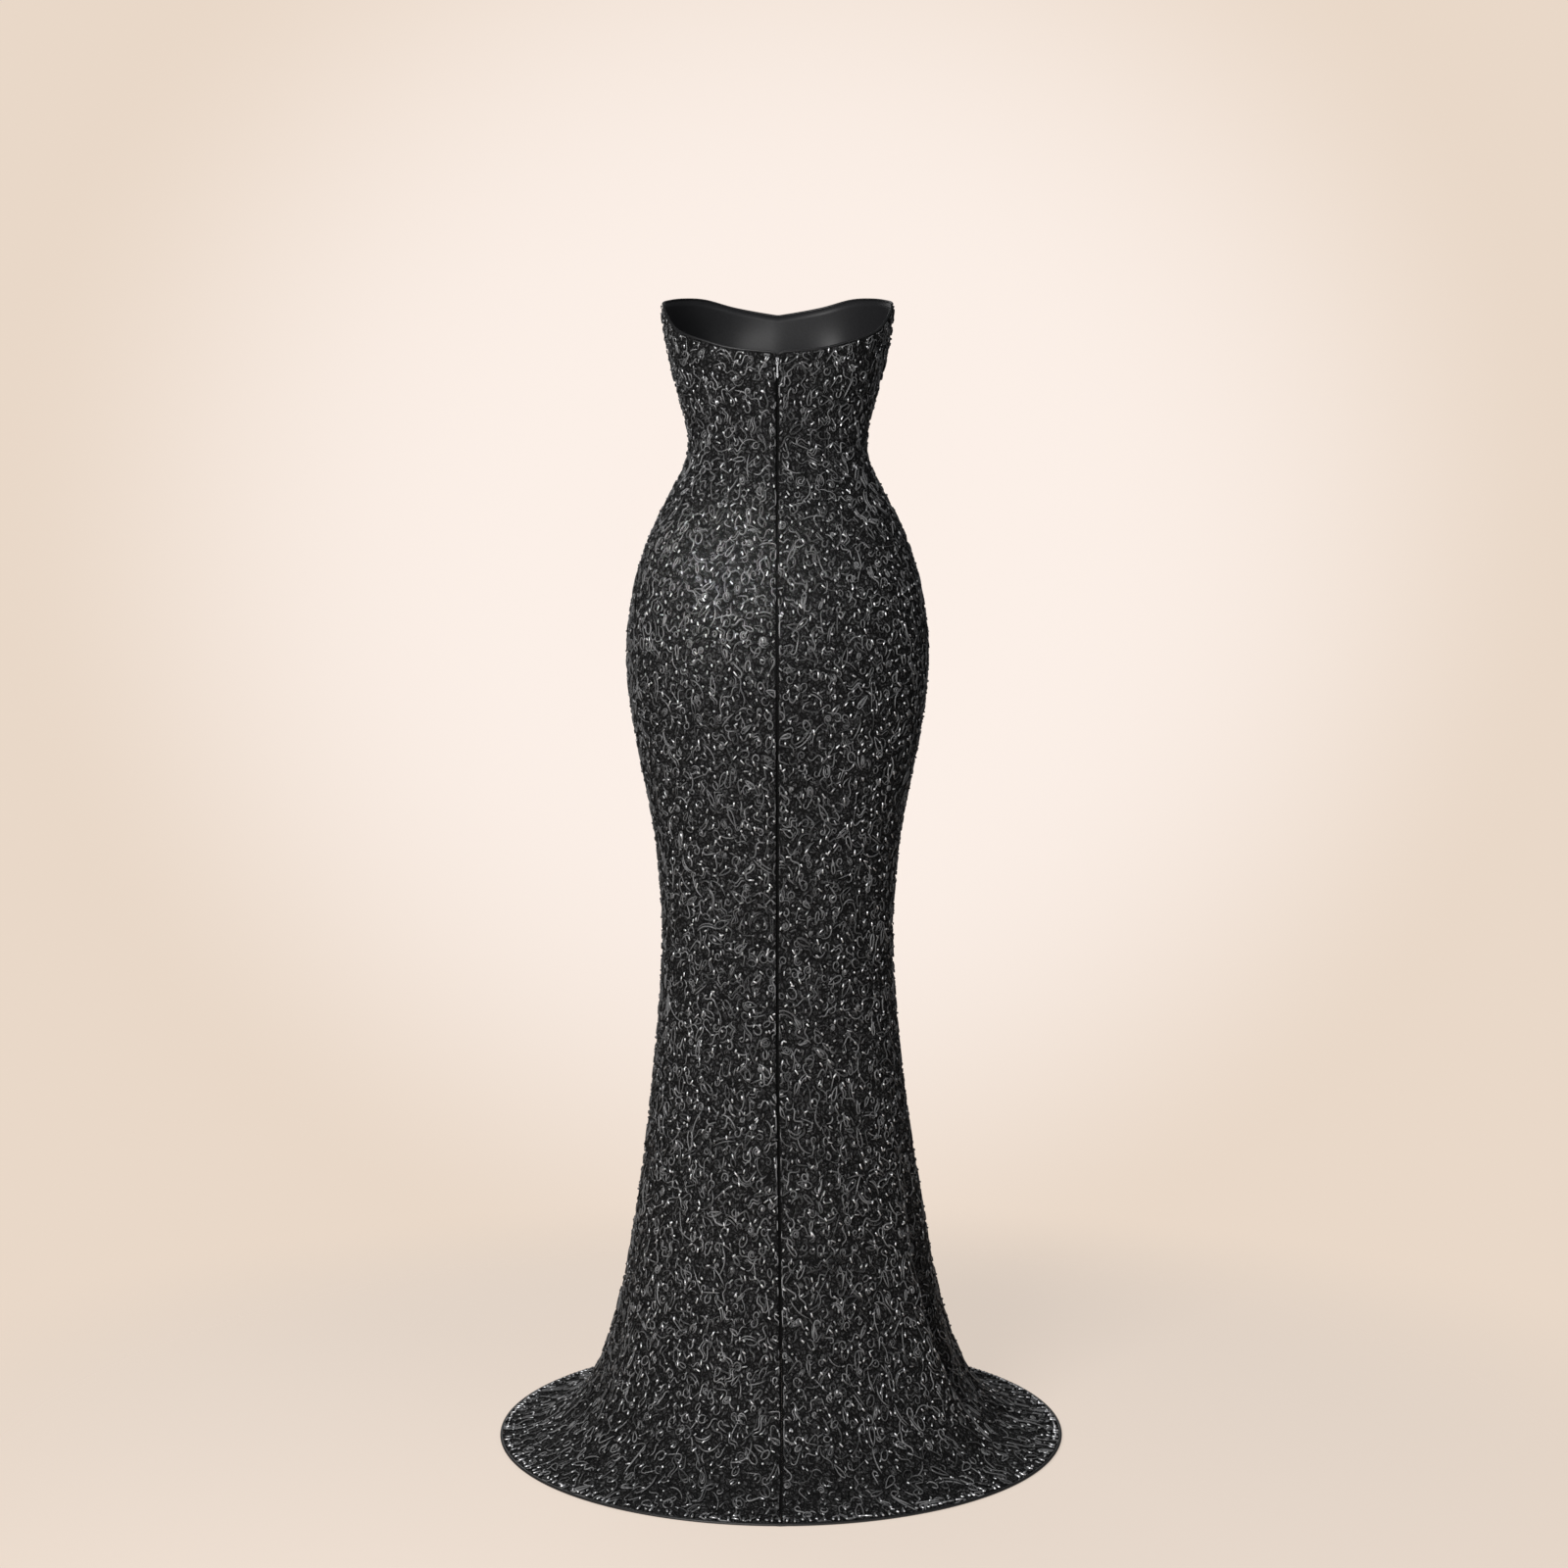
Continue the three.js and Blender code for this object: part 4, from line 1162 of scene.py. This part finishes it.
class GOWN_OT_zip(bpy.types.Operator):
    """Concealed zip: two tapes, their teeth, the slider and the pull tab"""

    bl_idname = "gown.zip"
    bl_label = "Zip"

    def execute(self, context):
        sizes, colours = context.scene.gown_sizes, context.scene.gown_colours
        tape = thread_material("zip_tape", colours.tape, 0.7, 1400.0)
        teeth = thread_material("zip_coil", colours.teeth, 0.3, 500.0)
        outer = CLOTH_IN - SEAM_GAP
        inner = outer - TAPE_THICKNESS
        lines = sum(line <= TAPE_WIDTH for line in BACK_LINES)
        rows = sum(count for _, count in BANDS[:TAPE_BANDS]) + 1
        for name in ("left", "right"):
            angles, down = panel_grid("back_" + name)
            picked = slice(-lines, None) if name == "left" else slice(0, lines)
            piece = wall_piece(
                "zip_tape_cloth_" + name, angles[picked, :rows], down[picked, :rows], outer, inner, [tape])
            finish_piece(piece, "zip_tape", "zip_tape_" + name)
            self.teeth(name, sizes.zip_tooth_step, inner - TEETH_BEHIND, teeth)
        metal = metal_material(colours)
        for node in ("zip_slider", "zip_pull"):
            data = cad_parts[node].data
            data.materials.clear()
            data.materials.append(metal)
        return {"FINISHED"}

    def teeth(self, side, step, depth, material):
        """A row of short coil turns along the tape's edge, each a bead lying across it."""
        top = float(neck_down(np.array([CENTRE_BACK]))[0]) + TEETH_START
        count = int((float(down_at(ZIP_END_Z)) - top) / step)
        sign, start = (-1, 0.5) if side == "left" else (1, 0.0)
        down = top + (np.arange(count) + start) * step
        angle = CENTRE_BACK + sign * turn_at(TEETH_ACROSS, down)
        one = np.ones(count)
        bead_piece(
            "zip_teeth_" + side, "zip_teeth", angle, down, depth * one, 0 * one,
            TOOTH_LENGTH * one, TOOTH_WIDTH * one, TOOTH_SHOULDER * one, material)


# The floor's round sheet: its radii in metres, how many rings and turns it has, and the distances from
# the gown between which it fades out.
FLOOR_RADII = (0.02, 2.4)
FLOOR_RINGS, FLOOR_TURNS = 40, 72
FLOOR_FADE = (0.5, 1.25)
FLOOR_BELOW = 0.0004

# Soft lights. Columns: name, place, target, size, power, colour and the beam's spread in degrees.
LIGHTS = (
    ("key", (0.85, 1.8, 0.2), (0, 0, -0.4), 0.9, 54, (1, 0.99, 0.98), 180),
    ("hip_light", (0.45, 1.5, 0.15), (0.05, 0.1, -0.155), 0.08, 0.125, (1, 1, 1), 9),
    ("fill", (-1.9, 1.9, 0.4), (0, 0, -0.4), 1.6, 14.5, (0.98, 0.99, 1), 180),
    ("front_fill", (0.5, -2.2, 0.6), (0, 0, -0.4), 1.6, 14, (1, 0.99, 0.98), 180),
)
# The even light from all round, and where the backdrop's glow is: its direction, and the cosines of the
# angles from it where the glow ends and where it is full.
SURROUND_COLOUR, SURROUND_STRENGTH = (0.93, 0.96, 1.0, 1), 0.12
GLOW_DIRECTION, GLOW_END, GLOW_FULL = (0, -0.993, 0.117), 0.93, 0.995


class GOWN_OT_stage(bpy.types.Operator):
    """Stage: a pale floor that fades into the backdrop, soft studio light and the camera"""

    bl_idname = "gown.stage"
    bl_label = "Floor, light and camera"

    def execute(self, context):
        scene = context.scene
        floor_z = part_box("hem_binding")[0].z
        self.floor(scene.gown_colours, floor_z - FLOOR_BELOW)
        self.backdrop(scene, scene.gown_colours)
        for values in LIGHTS:
            self.light(scene, *values)
        self.camera(scene, floor_z)
        scene.view_settings.view_transform = "Standard"
        return {"FINISHED"}

    def floor(self, colours, z):
        """A round floor, solid near the gown and see-through towards its rim."""
        radii = np.linspace(*FLOOR_RADII, FLOOR_RINGS)[:, None]
        turns = np.arange(FLOOR_TURNS) * 2 * np.pi / FLOOR_TURNS
        rings = np.stack([radii * np.cos(turns), radii * np.sin(turns), z + 0 * radii * turns], -1)
        points = np.vstack([rings.reshape(-1, 3), [(0, 0, z)]]) / MM
        grid = np.arange(FLOOR_RINGS * FLOOR_TURNS).reshape(FLOOR_RINGS, FLOOR_TURNS)
        grid = np.hstack([grid, grid[:, :1]])
        middle = np.stack([np.full(FLOOR_TURNS, grid.max() + 1), grid[0, :-1], grid[0, 1:]], -1)
        faces = np.concatenate([split(cells(grid))[:, ::-1], middle])
        material, add = new_material("studio_floor")
        shader = set_shader(material, {
            "Base Color": (*scaled(colours.floor, 0.26), 1),
            "Roughness": 0.8,
            "Specular IOR Level": 0.1,
            "Emission Color": (*colours.floor, 1),
            "Emission Strength": 0.785,
        })
        reach = add("VectorMath", {0: add("TexCoord", {}, "Object")}, "Value", operation="LENGTH")
        near, far = (math.hypot(distance, z) for distance in FLOOR_FADE)
        fade = add("MapRange", {"Value": reach, "From Min": near, "From Max": far},
                   interpolation_type="SMOOTHSTEP")
        clear = add("BsdfTransparent", {})
        mix = add("MixShader", {"Fac": fade, 1: shader.outputs["BSDF"], 2: clear})
        out = next(node for node in material.node_tree.nodes if node.type == "OUTPUT_MATERIAL")
        set_inputs(material.node_tree, out, {"Surface": mix})
        mesh_object("stage_floor", points, faces, [material])

    def backdrop(self, scene, colours):
        """What the camera sees behind the gown: a pale backdrop with a soft glow in its middle. What
        lights the gown from all round is dimmer and even."""
        world = scene.world or bpy.data.worlds.new("studio")
        scene.world = world
        world.use_nodes = True
        tree = world.node_tree
        seen = next(node for node in tree.nodes if node.type == "BACKGROUND")
        out = next(node for node in tree.nodes if node.type == "OUTPUT_WORLD")
        add = node_adder(tree)
        place = add("TexCoord", {}, "Generated")
        near = add("VectorMath", {0: place, 1: GLOW_DIRECTION}, "Value", operation="DOT_PRODUCT")
        glow = add("MapRange", {"Value": near, "From Min": GLOW_END, "From Max": GLOW_FULL},
                   interpolation_type="SMOOTHSTEP")
        shades = {"Factor": glow, 6: (*colours.backdrop, 1), 7: (*colours.glow, 1)}
        set_inputs(tree, seen, {"Color": add("Mix", shades, 2, data_type="RGBA")})
        surround = add("Background", {"Color": SURROUND_COLOUR, "Strength": SURROUND_STRENGTH})
        from_camera = add("LightPath", {}, "Is Camera Ray")
        choose = add("MixShader", {"Fac": from_camera, 1: surround, 2: seen.outputs["Background"]})
        set_inputs(tree, out, {"Surface": choose})

    def light(self, scene, name, place, target, size, power, colour, spread):
        """A square soft light that faces a point."""
        data = bpy.data.lights.new(name, "AREA")
        data.size, data.energy, data.color = size, power, colour
        data.spread = math.radians(spread)
        light = bpy.data.objects.new(name, data)
        light.location = place
        light.rotation_euler = (Vector(target) - Vector(place)).to_track_quat("-Z", "Y").to_euler()
        scene.collection.objects.link(light)

    def camera(self, scene, floor_z):
        """A level camera behind the gown, at the photograph's distance, height and focal length."""
        data = bpy.data.cameras.new("camera")
        data.sensor_width = SENSOR_WIDTH
        data.lens = SENSOR_WIDTH * FOCAL_PIXELS / PHOTO_SIZE
        data.clip_start = 0.05
        camera = bpy.data.objects.new("camera", data)
        metres_per_pixel = CAMERA_DISTANCE / FOCAL_PIXELS
        off_middle = (AXIS_PIXEL_X - PHOTO_MIDDLE_X) * metres_per_pixel
        camera.location = (off_middle, CAMERA_DISTANCE, floor_z + CAMERA_HEIGHT)
        camera.rotation_euler = (math.pi / 2, 0, math.pi)
        scene.collection.objects.link(camera)
        scene.camera = camera


STEPS_IN_ORDER = (
    GOWN_OT_stage,
    GOWN_OT_panels,
    GOWN_OT_cords,
    GOWN_OT_beads,
    GOWN_OT_bindings,
    GOWN_OT_zip,
)


class GOWN_PT_sidebar(bpy.types.Panel):
    """Steps and settings of the gown, in the sidebar"""

    bl_idname = "GOWN_PT_sidebar"
    bl_label = "Evening gown"
    bl_space_type = "VIEW_3D"
    bl_region_type = "UI"
    bl_category = "Gown"

    def draw(self, context):
        for group in (context.scene.gown_sizes, context.scene.gown_colours):
            box = self.layout.box()
            for name in group.__annotations__:
                box.prop(group, name)
        for step in STEPS_IN_ORDER:
            self.layout.operator(step.bl_idname)


CLASSES = (GownSizes, GownColours, *STEPS_IN_ORDER, GOWN_PT_sidebar)


def register():
    for item in CLASSES:
        bpy.utils.register_class(item)
    bpy.types.Scene.gown_sizes = bpy.props.PointerProperty(type=GownSizes)
    bpy.types.Scene.gown_colours = bpy.props.PointerProperty(type=GownColours)


def unregister():
    del bpy.types.Scene.gown_colours
    del bpy.types.Scene.gown_sizes
    for item in reversed(CLASSES):
        bpy.utils.unregister_class(item)


def main():
    """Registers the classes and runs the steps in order."""
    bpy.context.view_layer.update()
    register()
    bpy.ops.gown.stage()
    bpy.ops.gown.panels()
    bpy.ops.gown.cords()
    bpy.ops.gown.beads()
    bpy.ops.gown.bindings()
    bpy.ops.gown.zip()


if __name__ == "__main__":
    main()
